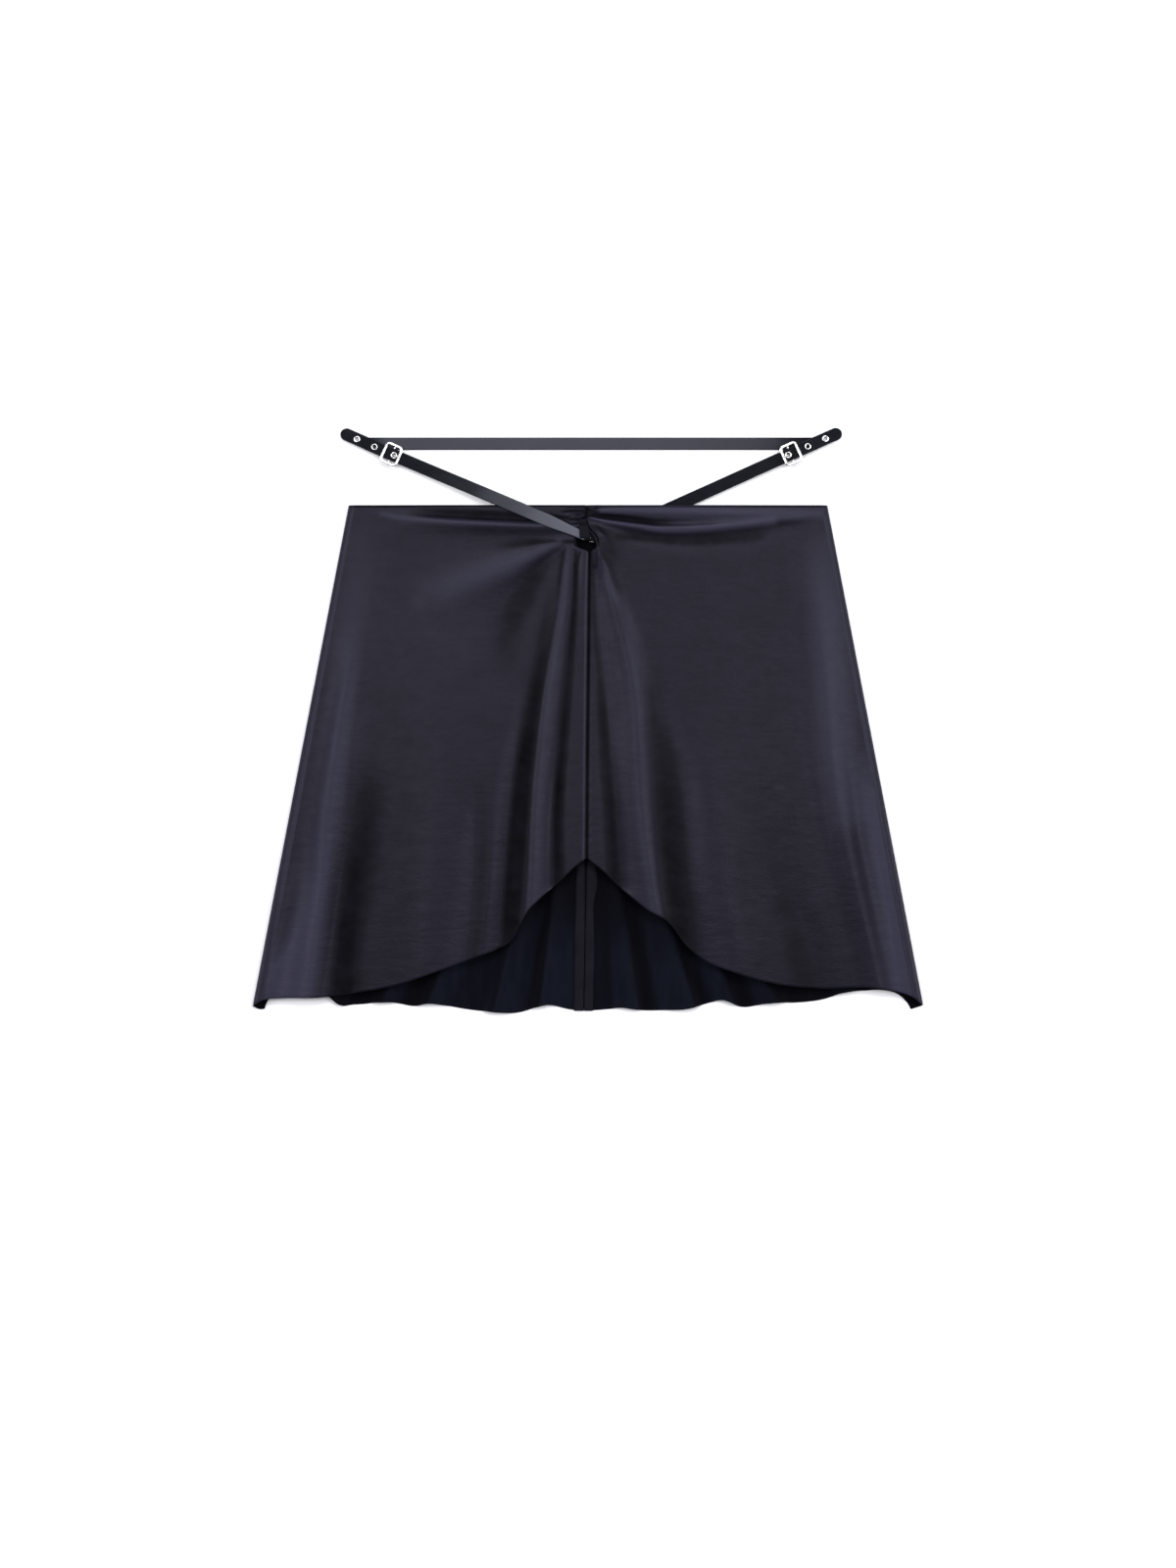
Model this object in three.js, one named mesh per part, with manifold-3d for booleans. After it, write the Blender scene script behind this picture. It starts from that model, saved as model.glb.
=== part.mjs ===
// Leather mini skirt laid flat on its back, waist towards +Y, with a strap belt threaded through
// a slit in its centre front seam. Millimetres. The origin is the middle of the surface it lies on.
// "drop" is the distance below the waist edge, "out" the distance from the centre seam.
import * as THREE from "three";
import { mergeVertices } from "three/addons/utils/BufferGeometryUtils.js";
import Module from "manifold-3d";

const wasm = await Module();
wasm.setup();

// Driving sizes
const waistHalf = 195; // half the flat waist
const waistY = 174.9; // where the waist edge lies
const sideSeam = 408; // length of the side seam seen from above
const leather = 1.2; // wall of a panel
const seamGap = 0.3; // space kept at every seam
const waistHeight = 9.8; // top of the front at the waist
const hemHeight = 17.2; // top of the front at the hem
const allowance = { width: 8.2, thickness: 2.3, slope: 0.4 }; // pressed-open centre back seam
const strap = { width: 10.2, thickness: 1.2, tipLength: 45.3, gap: 0.3 };
const strapSlot = { length: 6.4, width: 2.4, height: 5.6, bottom: 1.4 }; // for the prong, at each fold
const eyelet = { hole: 1.4, barrel: 1.75, flange: 2.8, cut: 2.05, flangeThickness: 0.45, bevel: 0.3 };
const eyeletPlaces = [-31, -15.1, 2.2]; // along each strap end, from the buckle's bar
const buckle = {
  length: 15.8,
  width: 18.2,
  bar: 2.6,
  corner: 4,
  thickness: 1.6,
  bevel: 0.4,
  bottom: 7.1,
  pinRadius: 0.7,
  pinHeight: 3.8,
  postRadius: 0.9,
};
const prongRadius = 0.6;
const clearance = 0.3; // between the prong and what it passes
const backStrapY = 225.4;
const waistTurn = { depth: 0.9, width: 2.4 }; // edge of the front waist, turned down
const crownFlat = 0.45; // share of the half width over which the front stays at full height
const seamReach = 28; // how far from the centre the front columns bend to the seam and the slit
const backDrift = { x: -3.4, drop: 412 }; // the centre back seam wanders to the left at the hem
const backSide = 232; // where the back starts to rise to its side fold, at the hem
const fluteGather = 1.3; // above 1 draws the flutes towards the centre at the waist
const loopThickness = 1;

// The rounded side folds: how far they reach in, the height of the side seam, the height of the top
const sideFold = {
  waist: { reach: 5.5, seam: 3, top: 7.6 },
  hem: { reach: 10, seam: 4.8, top: 11 },
};

// Edges of the two front panels along the centre front: the seam, and the slit for the strap
const centreFront = [
  { drop: 0, left: -0.9, right: -0.6 },
  { drop: 6, left: -1.3, right: -1.0 },
  { drop: 11, left: -3.5, right: -3.2 },
  { drop: 15.5, left: -2.4, right: -2.1 },
  { drop: 18, left: -3.8, right: 0.2 },
  { drop: 21, left: -5.8, right: 2.8 },
  { drop: 24.5, left: -6.6, right: 5.2 },
  { drop: 29, left: -6.8, right: 6.8 },
  { drop: 34, left: -6.6, right: 6.9 },
  { drop: 36.5, left: -3.0, right: 5.2 },
  { drop: 38.5, left: 1.7, right: 2.0 },
  { drop: 64, left: 0.8, right: 1.1 },
  { drop: 200, left: -0.7, right: -0.4 },
  { drop: 288, left: -1.3, right: -1.0 },
];

// Cut of the front hem: an arch at the centre that sweeps down to each side seam
const frontHem = {
  left: [
    { out: 0, drop: 287.5 },
    { out: 9.5, drop: 294.5 },
    { out: 23, drop: 306.5 },
    { out: 41.5, drop: 322.5 },
    { out: 49.5, drop: 331 },
    { out: 59, drop: 349 },
    { out: 73, drop: 361 },
    { out: 92, drop: 368.5 },
    { out: 120, drop: 378.5 },
    { out: 152, drop: 389.5 },
    { out: 188, drop: 397 },
    { out: 216, drop: 400.8 },
    { out: 250, drop: 401.6 },
    { out: 264, drop: 403 },
    { out: 273, drop: 407 },
  ],
  right: [
    { out: 0, drop: 287.5 },
    { out: 10.5, drop: 296 },
    { out: 27, drop: 312 },
    { out: 48, drop: 329 },
    { out: 67.5, drop: 341.5 },
    { out: 79, drop: 357.5 },
    { out: 93, drop: 369.5 },
    { out: 117, drop: 379.6 },
    { out: 152, drop: 389.6 },
    { out: 189, drop: 393.6 },
    { out: 229, drop: 393 },
    { out: 251, drop: 396 },
    { out: 264, drop: 400.5 },
    { out: 273, drop: 407 },
  ],
};

// Cut of the back hem as it lies over its flutes
const backHem = {
  left: [
    { out: 0, drop: 412.4 },
    { out: 12, drop: 411 },
    { out: 32, drop: 407.5 },
    { out: 40, drop: 409.6 },
    { out: 49, drop: 412.6 },
    { out: 79, drop: 412.8 },
    { out: 96, drop: 411 },
    { out: 116, drop: 407.6 },
    { out: 130, drop: 406.2 },
    { out: 136, drop: 408 },
    { out: 160, drop: 405 },
    { out: 188, drop: 407 },
    { out: 203, drop: 406.6 },
    { out: 210, drop: 401 },
    { out: 240, drop: 399.5 },
    { out: 253, drop: 402.5 },
    { out: 260, drop: 409 },
    { out: 267, drop: 411 },
    { out: 273, drop: 408.5 },
  ],
  right: [
    { out: 0, drop: 412.4 },
    { out: 20, drop: 410.8 },
    { out: 31, drop: 409.6 },
    { out: 44, drop: 411.6 },
    { out: 66, drop: 411.6 },
    { out: 84, drop: 410.4 },
    { out: 102, drop: 405.4 },
    { out: 112, drop: 403.2 },
    { out: 125, drop: 408.8 },
    { out: 148, drop: 406 },
    { out: 176, drop: 405.2 },
    { out: 192, drop: 403 },
    { out: 208, drop: 397.6 },
    { out: 224, drop: 396 },
    { out: 246, drop: 398.5 },
    { out: 253, drop: 405 },
    { out: 259, drop: 410.4 },
    { out: 268, drop: 409.4 },
    { out: 273, drop: 407.5 },
  ],
};

// Flutes of the back panels: each crest at the hem, with a gentle side towards the centre and a
// steep side away from it, growing from where it starts down to the hem
const flutes = {
  left: [
    { crest: 37.5, gentle: 20, steep: 8, rise: 6.5, starts: 190 },
    { crest: 76, gentle: 24, steep: 9, rise: 7, starts: 170 },
    { crest: 130, gentle: 22, steep: 11, rise: 7, starts: 200 },
    { crest: 168, gentle: 18, steep: 10, rise: 7, starts: 220 },
    { crest: 208, gentle: 14, steep: 12, rise: 5.5, starts: 230 },
  ],
  right: [
    { crest: 39, gentle: 20, steep: 9, rise: 6.5, starts: 190 },
    { crest: 86, gentle: 26, steep: 10, rise: 7, starts: 170 },
    { crest: 117, gentle: 15, steep: 9, rise: 7, starts: 210 },
    { crest: 153, gentle: 17, steep: 12, rise: 7, starts: 220 },
    { crest: 214, gentle: 20, steep: 12, rise: 5.5, starts: 230 },
  ],
};

// Largest folds of the front. Each runs from its start through its bend to its end, as x and drop,
// with a half width and a rise at each end; a trough has a negative rise.
const folds = [
  { start: [-14, 38], bend: [-36, 160], end: [-49, 318], widths: [6, 13], rises: [2.2, 4.2] },
  { start: [-11, 44], bend: [-15, 150], end: [-24, 275], widths: [4, 8], rises: [-1.4, -2.6] },
  { start: [-38, 70], bend: [-62, 200], end: [-66, 345], widths: [9, 14], rises: [-1.2, -3.4] },
  { start: [-18, 28], bend: [-80, 54], end: [-150, 74], widths: [6, 14], rises: [1.6, 1.4] },
  { start: [-24, 40], bend: [-88, 72], end: [-120, 90], widths: [6, 12], rises: [-1.4, -1] },
  { start: [-8, 17], bend: [-84, 19.5], end: [-176, 13], widths: [4, 6], rises: [1.6, 1] },
  { start: [-12, 9], bend: [-70, 10], end: [-150, 7], widths: [3.5, 4], rises: [-1.4, -0.8] },
  { start: [-190, 105], bend: [-206, 210], end: [-229, 396], widths: [10, 12], rises: [1.4, 3.6] },
  { start: [-186, 200], bend: [-197, 290], end: [-204, 396], widths: [9, 11], rises: [-1, -2.8] },
  { start: [-137, 262], bend: [-139, 325], end: [-141, 386], widths: [10, 13], rises: [-0.8, -2] },
  { start: [-94, 262], bend: [-95, 320], end: [-98, 369], widths: [9, 12], rises: [-0.8, -2] },
  { start: [9, 36], bend: [38, 150], end: [56, 332], widths: [6, 14], rises: [2.2, 4.4] },
  { start: [7, 44], bend: [17, 160], end: [21, 290], widths: [4, 9], rises: [-1.4, -2.4] },
  { start: [48, 130], bend: [66, 240], end: [78, 350], widths: [9, 13], rises: [-1, -3.4] },
  { start: [8, 10], bend: [90, 3], end: [190, 6], widths: [4, 4], rises: [1.2, 0.8] },
  { start: [4, 13.5], bend: [80, 22], end: [188, 9], widths: [3.5, 5], rises: [2.2, 1.2] },
  { start: [28, 26], bend: [90, 29], end: [180, 16], widths: [5, 6], rises: [-1.5, -1] },
  { start: [198, 120], bend: [211, 250], end: [238, 385], widths: [11, 12], rises: [1.4, 3.4] },
  { start: [230, 250], bend: [236, 330], end: [244, 385], widths: [6, 8], rises: [-0.8, -1.8] },
  { start: [120, 270], bend: [124, 330], end: [130, 378], widths: [14, 18], rises: [-0.5, -1.6] },
];

// Around the slit the right panel stands up over the strap and the left panel lies under it
const slit = { x: 7, spread: 12, from: 13, to: 42, liftRight: 4.6, liftLeft: -1, strapHeight: 11.1 };

// Where the strap's two arms meet their buckles, and the way each arm runs
const arms = {
  left: { x: -160.1, y: 216.2, side: -1, tipSlope: 0.45, armSlope: 0.425 },
  right: { x: 165.3, y: 216.6, side: 1, tipSlope: 0.449, armSlope: 0.449 },
};

// Height of the middle of a strap end at a distance from the buckle's bar
const endRise = [
  { along: -45.3, height: 2.1 },
  { along: -38, height: 2.9 },
  { along: -31, height: 3.5 },
  { along: -23, height: 4.1 },
  { along: -15, height: 4.95 },
  { along: -8, height: 5.75 },
  { along: -5, height: 6.25 },
  { along: 0, height: 7.0 },
  { along: 5, height: 6.25 },
  { along: 8, height: 5.7 },
  { along: 16, height: 5.2 },
];
const endStations = [
  -45.3, -44.9, -43.9, -42.4, -40.5, -38, -34, -31, -27, -23, -19, -15, -11.5, -8, -5, -2.5, 0, 2.5, 5, 8,
  12, 16,
];
const hang = { from: 16, height: 5.2, over: 84, behind: 3.6, behindOver: 60 };

// The strap's turn in the slit: a short arc between its two arms, sinking behind the front right,
// with its depth below the slit's strap height and a half width drawn in by the slit
const slitTurn = [
  { x: -1.2, y: 149.6, below: 0.1, half: 3.5 },
  { x: 2.4, y: 148.4, below: 0.4, half: 3.4 },
  { x: 6.6, y: 147.6, below: 0.9, half: 3.5 },
  { x: 10.6, y: 147.9, below: 1.8, half: 3.9 },
  { x: 15, y: 149.4, below: 3.2, half: 4.4 },
  { x: 20, y: 151.5, below: 4.8, half: 4.8 },
  { x: 27, y: 154.6, below: 6.2, half: 5.1 },
];
const gather = { from: -34, to: -7, half: 3.5 }; // where the left arm narrows towards the slit

// Course of the front loop: from the seam down over the strap, with its middle, half width and how
// far it has climbed from the panel to the top of the strap
const loopCourse = [
  { drop: 12.6, x: -3.7, half: 2.5, climb: 0 },
  { drop: 15.2, x: -3.9, half: 2.6, climb: 0.15 },
  { drop: 18, x: -3.5, half: 3, climb: 0.8 },
  { drop: 20.4, x: -3, half: 3.5, climb: 1 },
  { drop: 23.4, x: -2.3, half: 4.1, climb: 1 },
  { drop: 25.6, x: -1.8, half: 4.3, climb: 0.98 },
  { drop: 27, x: -1.6, half: 3.8, climb: 0.94 },
];

// Course of the back strap's folded end round the pin: along and height
const pinLoop = [
  { along: -15, height: 2.1 },
  { along: -6, height: 2.1 },
  { along: -2.5, height: 2.1 },
  { along: 0, height: 2.1 },
  { along: 1.2, height: 2.6 },
  { along: 1.7, height: 3.8 },
  { along: 1.2, height: 5.0 },
  { along: 0, height: 5.5 },
  { along: -2, height: 5.3 },
  { along: -4.5, height: 4.4 },
  { along: -7, height: 3.75 },
  { along: -10.5, height: 3.65 },
];

// Middle and height of the prong beyond its eye: up through the third eyelet, then over the frame
const prongRise = [
  { beyond: -0.4, height: 5.9 },
  { beyond: -0.05, height: 7.1 },
  { beyond: 0.25, height: 8.1 },
  { beyond: 1.05, height: 9.35 },
];

const colours = { leather: 0x2e2c35, suede: 0x121722, strap: 0x484c58, nickel: 0xd8d8d6 };

function material(colour, roughness, metalness = 0) {
  return new THREE.MeshStandardMaterial({ color: colour, roughness, metalness });
}

function mix(a, b, t) {
  return a + (b - a) * t;
}

function smooth(t) {
  const k = Math.min(Math.max(t, 0), 1);
  return k * k * (3 - 2 * k);
}

// A value read from a table between its rows, with soft slopes at each row
function read(table, key, at, value) {
  const last = table.length - 1;
  if (at <= table[0][key]) return table[0][value];
  if (at >= table[last][key]) return table[last][value];
  const i = table.findIndex((row) => row[key] > at) - 1;
  const slopeAt = (j) => {
    const a = table[Math.max(j - 1, 0)];
    const b = table[Math.min(j + 1, last)];
    return (b[value] - a[value]) / (b[key] - a[key]);
  };
  const span = table[i + 1][key] - table[i][key];
  const t = (at - table[i][key]) / span;
  const a = table[i][value];
  const b = table[i + 1][value];
  const curve = (2 * t ** 3 - 3 * t * t + 1) * a + (3 * t * t - 2 * t ** 3) * b;
  const ease = (t ** 3 - 2 * t * t + t) * slopeAt(i) + (t ** 3 - t * t) * slopeAt(i + 1);
  return curve + ease * span;
}

// A value read from a table along straight lines between its rows
function readStraight(table, key, at, value) {
  const next = Math.max(table.findIndex((row) => row[key] > at), 0) || table.length - 1;
  const [a, b] = [table[next - 1], table[next]];
  const t = Math.min(Math.max((at - a[key]) / (b[key] - a[key]), 0), 1);
  return mix(a[value], b[value], t);
}

// Side seam at a drop: half width, reach of the fold, heights of seam and top
function sideAt(drop) {
  const t = drop / sideSeam;
  return {
    half: mix(waistHalf, 273, t),
    reach: mix(sideFold.waist.reach, sideFold.hem.reach, t),
    seam: mix(sideFold.waist.seam, sideFold.hem.seam, t),
    top: mix(sideFold.waist.top, sideFold.hem.top, t),
  };
}

// Rise that one fold adds at a point: a soft ridge along a curve through its three points
function foldRise(fold, x, drop) {
  const steps = 14;
  let best = Infinity;
  let rise = 0;
  for (let i = 0; i < steps; i++) {
    const a = foldPoint(fold, i / steps);
    const b = foldPoint(fold, (i + 1) / steps);
    const along = ((x - a[0]) * (b[0] - a[0]) + (drop - a[1]) * (b[1] - a[1])) /
      ((b[0] - a[0]) ** 2 + (b[1] - a[1]) ** 2);
    const k = Math.min(Math.max(along, 0), 1);
    const t = (i + k) / steps;
    const gap = Math.hypot(x - mix(a[0], b[0], k), drop - mix(a[1], b[1], k));
    if (gap < best) {
      best = gap;
      const width = mix(fold.widths[0], fold.widths[1], t);
      const grown = mix(fold.rises[0], fold.rises[1], t) * smooth(t / 0.15);
      rise = grown * Math.exp(-((gap / width) ** 2));
    }
  }
  return rise;
}

function foldPoint(fold, t) {
  const a = (1 - t) * (1 - 2 * t);
  const b = 4 * t * (1 - t);
  const c = t * (2 * t - 1);
  return [0, 1].map((k) => a * fold.start[k] + b * fold.bend[k] + c * fold.end[k]);
}

// Top of the front at a point, before its side folds close
function frontTop(x, drop, side) {
  const edge = sideAt(drop);
  const middle = mix(waistHeight, hemHeight, smooth(drop / sideSeam));
  const out = Math.abs(x) / (edge.half - edge.reach);
  const crown = mix(middle, edge.top, smooth((out - crownFlat) / (1 - crownFlat)));
  const creases = folds.reduce((sum, fold) => sum + foldRise(fold, x, drop), 0);
  const turned = waistTurn.depth * (1 - smooth(drop / waistTurn.width));
  const t = (drop - slit.from) / (slit.to - slit.from);
  const open = t > 0 && t < 1 ? Math.sin(Math.PI * t) ** 2 : 0;
  const near = Math.exp(-(((Math.abs(x) - slit.x) / slit.spread) ** 2));
  const lift = side > 0 ? slit.liftRight : slit.liftLeft;
  return crown + creases - turned + lift * open * near;
}

// A closed wall over a grid of points: the outer face, the inner face a thickness behind it along
// the surface's own normal, and a rim round the edge. The rim stands upright along the centre seam
// and lies level along the side seam. "up" says which way the outer face looks.
function wall(outer, thickness, up) {
  const columns = outer.length;
  const rows = outer[0].length;
  const within = (i, count) => Math.min(Math.max(i, 0), count - 1);
  const at = (c, r) => outer[within(c, columns)][within(r, rows)];
  const points = [];
  const inner = [];
  for (let c = 0; c < columns; c++) {
    for (let r = 0; r < rows; r++) {
      const across = at(c + 1, r).clone().sub(at(c - 1, r));
      const down = at(c, r + 1).clone().sub(at(c, r - 1));
      const normal = across.cross(down);
      if (c === 0) normal.setX(0).setY(0);
      if (c === columns - 1) normal.z = 0;
      normal.normalize();
      points.push(outer[c][r]);
      inner.push({ point: outer[c][r], normal, depth: thickness(c, r) });
    }
  }
  const middle = inner[Math.floor(columns / 3) * rows + Math.floor(rows / 2)].normal;
  const turn = Math.sign(middle.z) === up ? -1 : 1;
  inner.forEach(({ point, normal, depth }) => {
    points.push(point.clone().addScaledVector(normal, turn * depth));
  });
  const size = columns * rows;
  const index = [];
  const quad = (a, b, c, d) => index.push(a, b, c, a, c, d);
  for (let c = 0; c + 1 < columns; c++) {
    for (let r = 0; r + 1 < rows; r++) {
      const a = c * rows + r;
      quad(a, a + rows, a + rows + 1, a + 1);
      quad(size + a, size + a + 1, size + a + rows + 1, size + a + rows);
    }
  }
  const edge = [];
  for (let c = 0; c < columns; c++) edge.push(c * rows);
  for (let r = 1; r < rows; r++) edge.push((columns - 1) * rows + r);
  for (let c = columns - 2; c >= 0; c--) edge.push(c * rows + rows - 1);
  for (let r = rows - 2; r > 0; r--) edge.push(r);
  edge.forEach((a, i) => {
    const b = edge[(i + 1) % edge.length];
    quad(b, a, size + a, size + b);
  });
  return closedGeometry(points, index);
}

// A mesh from points and triangles, turned so that its faces look outwards
function closedGeometry(points, index) {
  let volume = 0;
  for (let i = 0; i < index.length; i += 3) {
    const [a, b, c] = [points[index[i]], points[index[i + 1]], points[index[i + 2]]];
    volume += a.dot(b.clone().cross(c));
  }
  const geometry = new THREE.BufferGeometry();
  const numbers = points.flatMap((p) => p.toArray());
  geometry.setAttribute("position", new THREE.Float32BufferAttribute(numbers, 3));
  geometry.setIndex(volume < 0 ? index.reverse() : index);
  geometry.computeVertexNormals();
  return geometry;
}

// Columns of a front panel: closer together at the centre and at the side, then round the side fold
function frontColumns() {
  const flat = 22;
  const round = 4;
  const columns = [];
  for (let c = 0; c <= flat; c++) {
    const t = c / flat;
    columns.push({ share: t - (0.55 * Math.sin(2 * Math.PI * t)) / (2 * Math.PI), turn: 0 });
  }
  for (let c = 1; c <= round; c++) columns.push({ share: 1, turn: ((c / round) * Math.PI) / 2 });
  return columns;
}

// Rows of a front panel, as drops along the centre front: close together at the turned waist edge
// and round the slit
const frontRows = [
  0, 1.2, 3.5, 7, 10.5, 14, 17.5, 20.5, 23.5, 26.5, 29.5, 33, 36, 38.5, 44, 54, 68, 88, 112, 138, 166, 196,
  228, 258, 287.5,
];

// One front panel: each column runs straight from the waist to its place on the hem, and the
// centre edge is drawn aside to follow the seam and the slit
function frontPanel(side) {
  const name = side < 0 ? "left" : "right";
  const centreDrop = frontRows[frontRows.length - 1];
  const hemSide = sideAt(sideSeam);
  const waistSide = sideAt(0);
  const outer = frontColumns().map(({ share, turn }) => {
    const outWaist = share * (waistSide.half - waistSide.reach) + waistSide.reach * Math.sin(turn);
    const outHem = share * (hemSide.half - hemSide.reach) + hemSide.reach * Math.sin(turn);
    const hemDrop = read(frontHem[name], "out", outHem, "drop");
    return frontRows.map((row) => {
      const t = row / centreDrop;
      const drop = mix(row, hemDrop * t, smooth(3 * t));
      const out = mix(outWaist, outHem, drop / hemDrop);
      const x = side * out + readStraight(centreFront, "drop", drop, name) * (1 - smooth(out / seamReach));
      const edge = sideAt(drop);
      const seam = edge.seam + seamGap / 2;
      const z = seam + (frontTop(x, drop, side) - seam) * Math.cos(turn);
      return new THREE.Vector3(x, waistY - drop, z);
    });
  });
  return wall(outer, () => leather, 1);
}

// Height of the underside of the back: flat on the surface between its flutes
function backUnderside(out, drop, hemDrop, name) {
  return flutes[name].reduce((height, flute) => {
    const crest = fluteColumn(flute.crest, drop / hemDrop);
    const away = out - crest;
    const fan = crest / flute.crest;
    const side = away < 0 ? flute.gentle : flute.steep;
    const shape = smooth(1 - Math.abs(away) / (side * fan));
    const grown = smooth((drop - flute.starts) / (hemDrop - flute.starts)) * flute.rise;
    return Math.max(height, shape * grown);
  }, 0);
}

// Where a line that meets the hem at "out" lies further up: the lines draw together at the waist
function fluteColumn(out, t) {
  const edge = allowance.width + allowance.slope;
  const share = Math.max(out - edge, 0) / (sideAt(sideSeam).half - edge);
  return mix(Math.min(out, edge) + (waistHalf - edge) * share ** fluteGather, out, t);
}

// Columns of a back panel: the allowance, then the foot, side and crest of each flute, then the
// rounded side fold
function backColumns(name) {
  const hem = sideAt(sideSeam);
  const marks = [0, allowance.width, allowance.width + allowance.slope];
  flutes[name].forEach(({ crest, gentle, steep }) => {
    [-1, -0.65, -0.3, 0].forEach((k) => marks.push(crest + k * gentle));
    [0.4, 1].forEach((k) => marks.push(crest + k * steep));
  });
  marks.push(backSide, backSide + 10, backSide + 17, backSide + 23, hem.half - hem.reach);
  marks.sort((a, b) => a - b);
  const apart = marks.filter((m, i) => i < 3 || m - marks[i - 1] > 2.2);
  const columns = apart.map((out) => ({ out, turn: 0 }));
  [22.5, 45, 67.5, 90].forEach((degrees) => {
    const turn = THREE.MathUtils.degToRad(degrees);
    columns.push({ out: hem.half - hem.reach + hem.reach * Math.sin(turn), turn });
  });
  return columns;
}

// Rows of a back panel, as shares of the way from the waist to the hem
const backRows = [0, 0.12, 0.26, 0.4, 0.5, 0.59, 0.67, 0.75, 0.82, 0.89, 0.95, 1];

function backPanel(side) {
  const name = side < 0 ? "left" : "right";
  const columns = backColumns(name);
  const hem = sideAt(sideSeam);
  const outer = columns.map(({ out, turn }) => {
    const hemDrop = read(backHem[name], "out", out, "drop");
    return backRows.map((t) => {
      const drop = hemDrop * t;
      const edge = sideAt(drop);
      const flatOut = fluteColumn(out, t);
      const roundOut = edge.half - edge.reach + edge.reach * Math.sin(turn);
      const reach = (out - backSide) / (hem.half - hem.reach - backSide);
      const placed = turn > 0 ? roundOut : mix(flatOut, Math.max(flatOut, roundOut), smooth(reach));
      const x = side * (placed + seamGap / 2) + centreBack(drop) * (1 - out / hem.half);
      const seam = edge.seam - seamGap / 2;
      const flat = turn > 0 ? 0 : backUnderside(placed, drop, hemDrop, name);
      const z = seam + (flat - seam) * Math.cos(turn);
      return new THREE.Vector3(x, waistY - drop, z);
    });
  });
  return wall(outer, (c) => (columns[c].out <= allowance.width ? allowance.thickness : leather), -1);
}

function centreBack(drop) {
  return backDrift.x * (drop / backDrift.drop) ** 2;
}

// A closed ribbon through sections, each with its middle, half width and half thickness as vectors
function ribbon(sections) {
  const points = sections.flatMap(({ at, half, thick }) =>
    [[-1, -1], [1, -1], [1, 1], [-1, 1]].map(([a, b]) =>
      at.clone().addScaledVector(half, a).addScaledVector(thick, b),
    ),
  );
  const index = [];
  const quad = (a, b, c, d) => index.push(a, b, c, a, c, d);
  for (let i = 0; i + 1 < sections.length; i++) {
    for (let k = 0; k < 4; k++) {
      const a = i * 4 + k;
      const b = i * 4 + ((k + 1) % 4);
      quad(a, b, b + 4, a + 4);
    }
  }
  const end = (sections.length - 1) * 4;
  quad(3, 2, 1, 0);
  quad(end, end + 1, end + 2, end + 3);
  return closedGeometry(points, index);
}

// Sections of a strap along points: level across, square to its course, tilted with its climb
function strapSections(points, halfWidths) {
  return points.map((at, i) => {
    const before = points[Math.max(i - 1, 0)];
    const after = points[Math.min(i + 1, points.length - 1)];
    const course = after.clone().sub(before).normalize();
    const level = new THREE.Vector3(-course.y, course.x, 0).normalize();
    const upright = course.clone().cross(level).normalize();
    return {
      at,
      half: level.multiplyScalar(halfWidths[i]),
      thick: upright.multiplyScalar(strap.thickness / 2),
    };
  });
}

// A point of an arm at a distance from its buckle's bar: tip side below zero, skirt side above
function armPoint(arm, along, height) {
  const slope = along < 0 ? arm.tipSlope : arm.armSlope;
  const run = along / Math.hypot(1, slope);
  return new THREE.Vector3(arm.x - arm.side * run, arm.y - slope * run, height);
}

// Lowest height for the strap's middle where it lies on the front, over its whole width
function overFront(x, y) {
  let top = 0;
  for (let dx = -4; dx <= 4; dx += 2) {
    for (let dy = -6; dy <= 6; dy += 2) {
      const drop = waistY - (y + dy);
      if (drop > -1) top = Math.max(top, frontTop(x + dx, Math.max(drop, 0), -1));
    }
  }
  return top ? top + strap.gap + strap.thickness / 2 + 0.1 : 0;
}

// The front strap from its left tip, over the front left, down the slit, behind the front right
// and up to its right tip
function frontStrapPoints() {
  const points = [];
  const full = strap.width / 2;
  const halfWidth = (along) => {
    const fromTip = along + strap.tipLength;
    return fromTip >= full ? full : Math.max(Math.sqrt(full * full - (full - fromTip) ** 2), 1);
  };
  const add = (point, half = full) => points.push({ point, half });
  const end = (arm, along) =>
    add(armPoint(arm, along, read(endRise, "along", along, "height")), halfWidth(along));
  endStations.forEach((along) => end(arms.left, along));
  const arrive = (-arms.left.x - 3) * Math.hypot(1, arms.left.armSlope);
  for (let along = hang.from + 10; along < arrive; along += 8) {
    const point = armPoint(arms.left, along, 0);
    const climb = smooth((along - hang.from) / hang.over);
    point.z = Math.max(mix(hang.height, slit.strapHeight, climb), overFront(point.x, point.y));
    add(point, mix(full, gather.half, smooth((point.x - gather.from) / (gather.to - gather.from))));
  }
  slitTurn.forEach(({ x, y, below, half }) => {
    add(new THREE.Vector3(x, y, Math.max(slit.strapHeight - below, 4.8)), half);
  });
  const leave = (arms.right.x - 36) * Math.hypot(1, arms.right.armSlope);
  for (let along = leave; along > hang.from + 6; along -= 12) {
    const sink = smooth((along - hang.from) / hang.behindOver);
    add(armPoint(arms.right, along, mix(hang.height, hang.behind, sink)));
  }
  [...endStations].reverse().forEach((along) => end(arms.right, along));
  return points;
}

function solidFrom(geometry) {
  const plain = geometry.clone();
  plain.deleteAttribute("normal");
  if (plain.attributes.uv) plain.deleteAttribute("uv");
  const merged = mergeVertices(plain, 1e-4);
  return new wasm.Manifold(
    new wasm.Mesh({
      numProp: 3,
      vertProperties: merged.attributes.position.array,
      triVerts: new Uint32Array(merged.index.array),
    }),
  );
}

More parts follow.
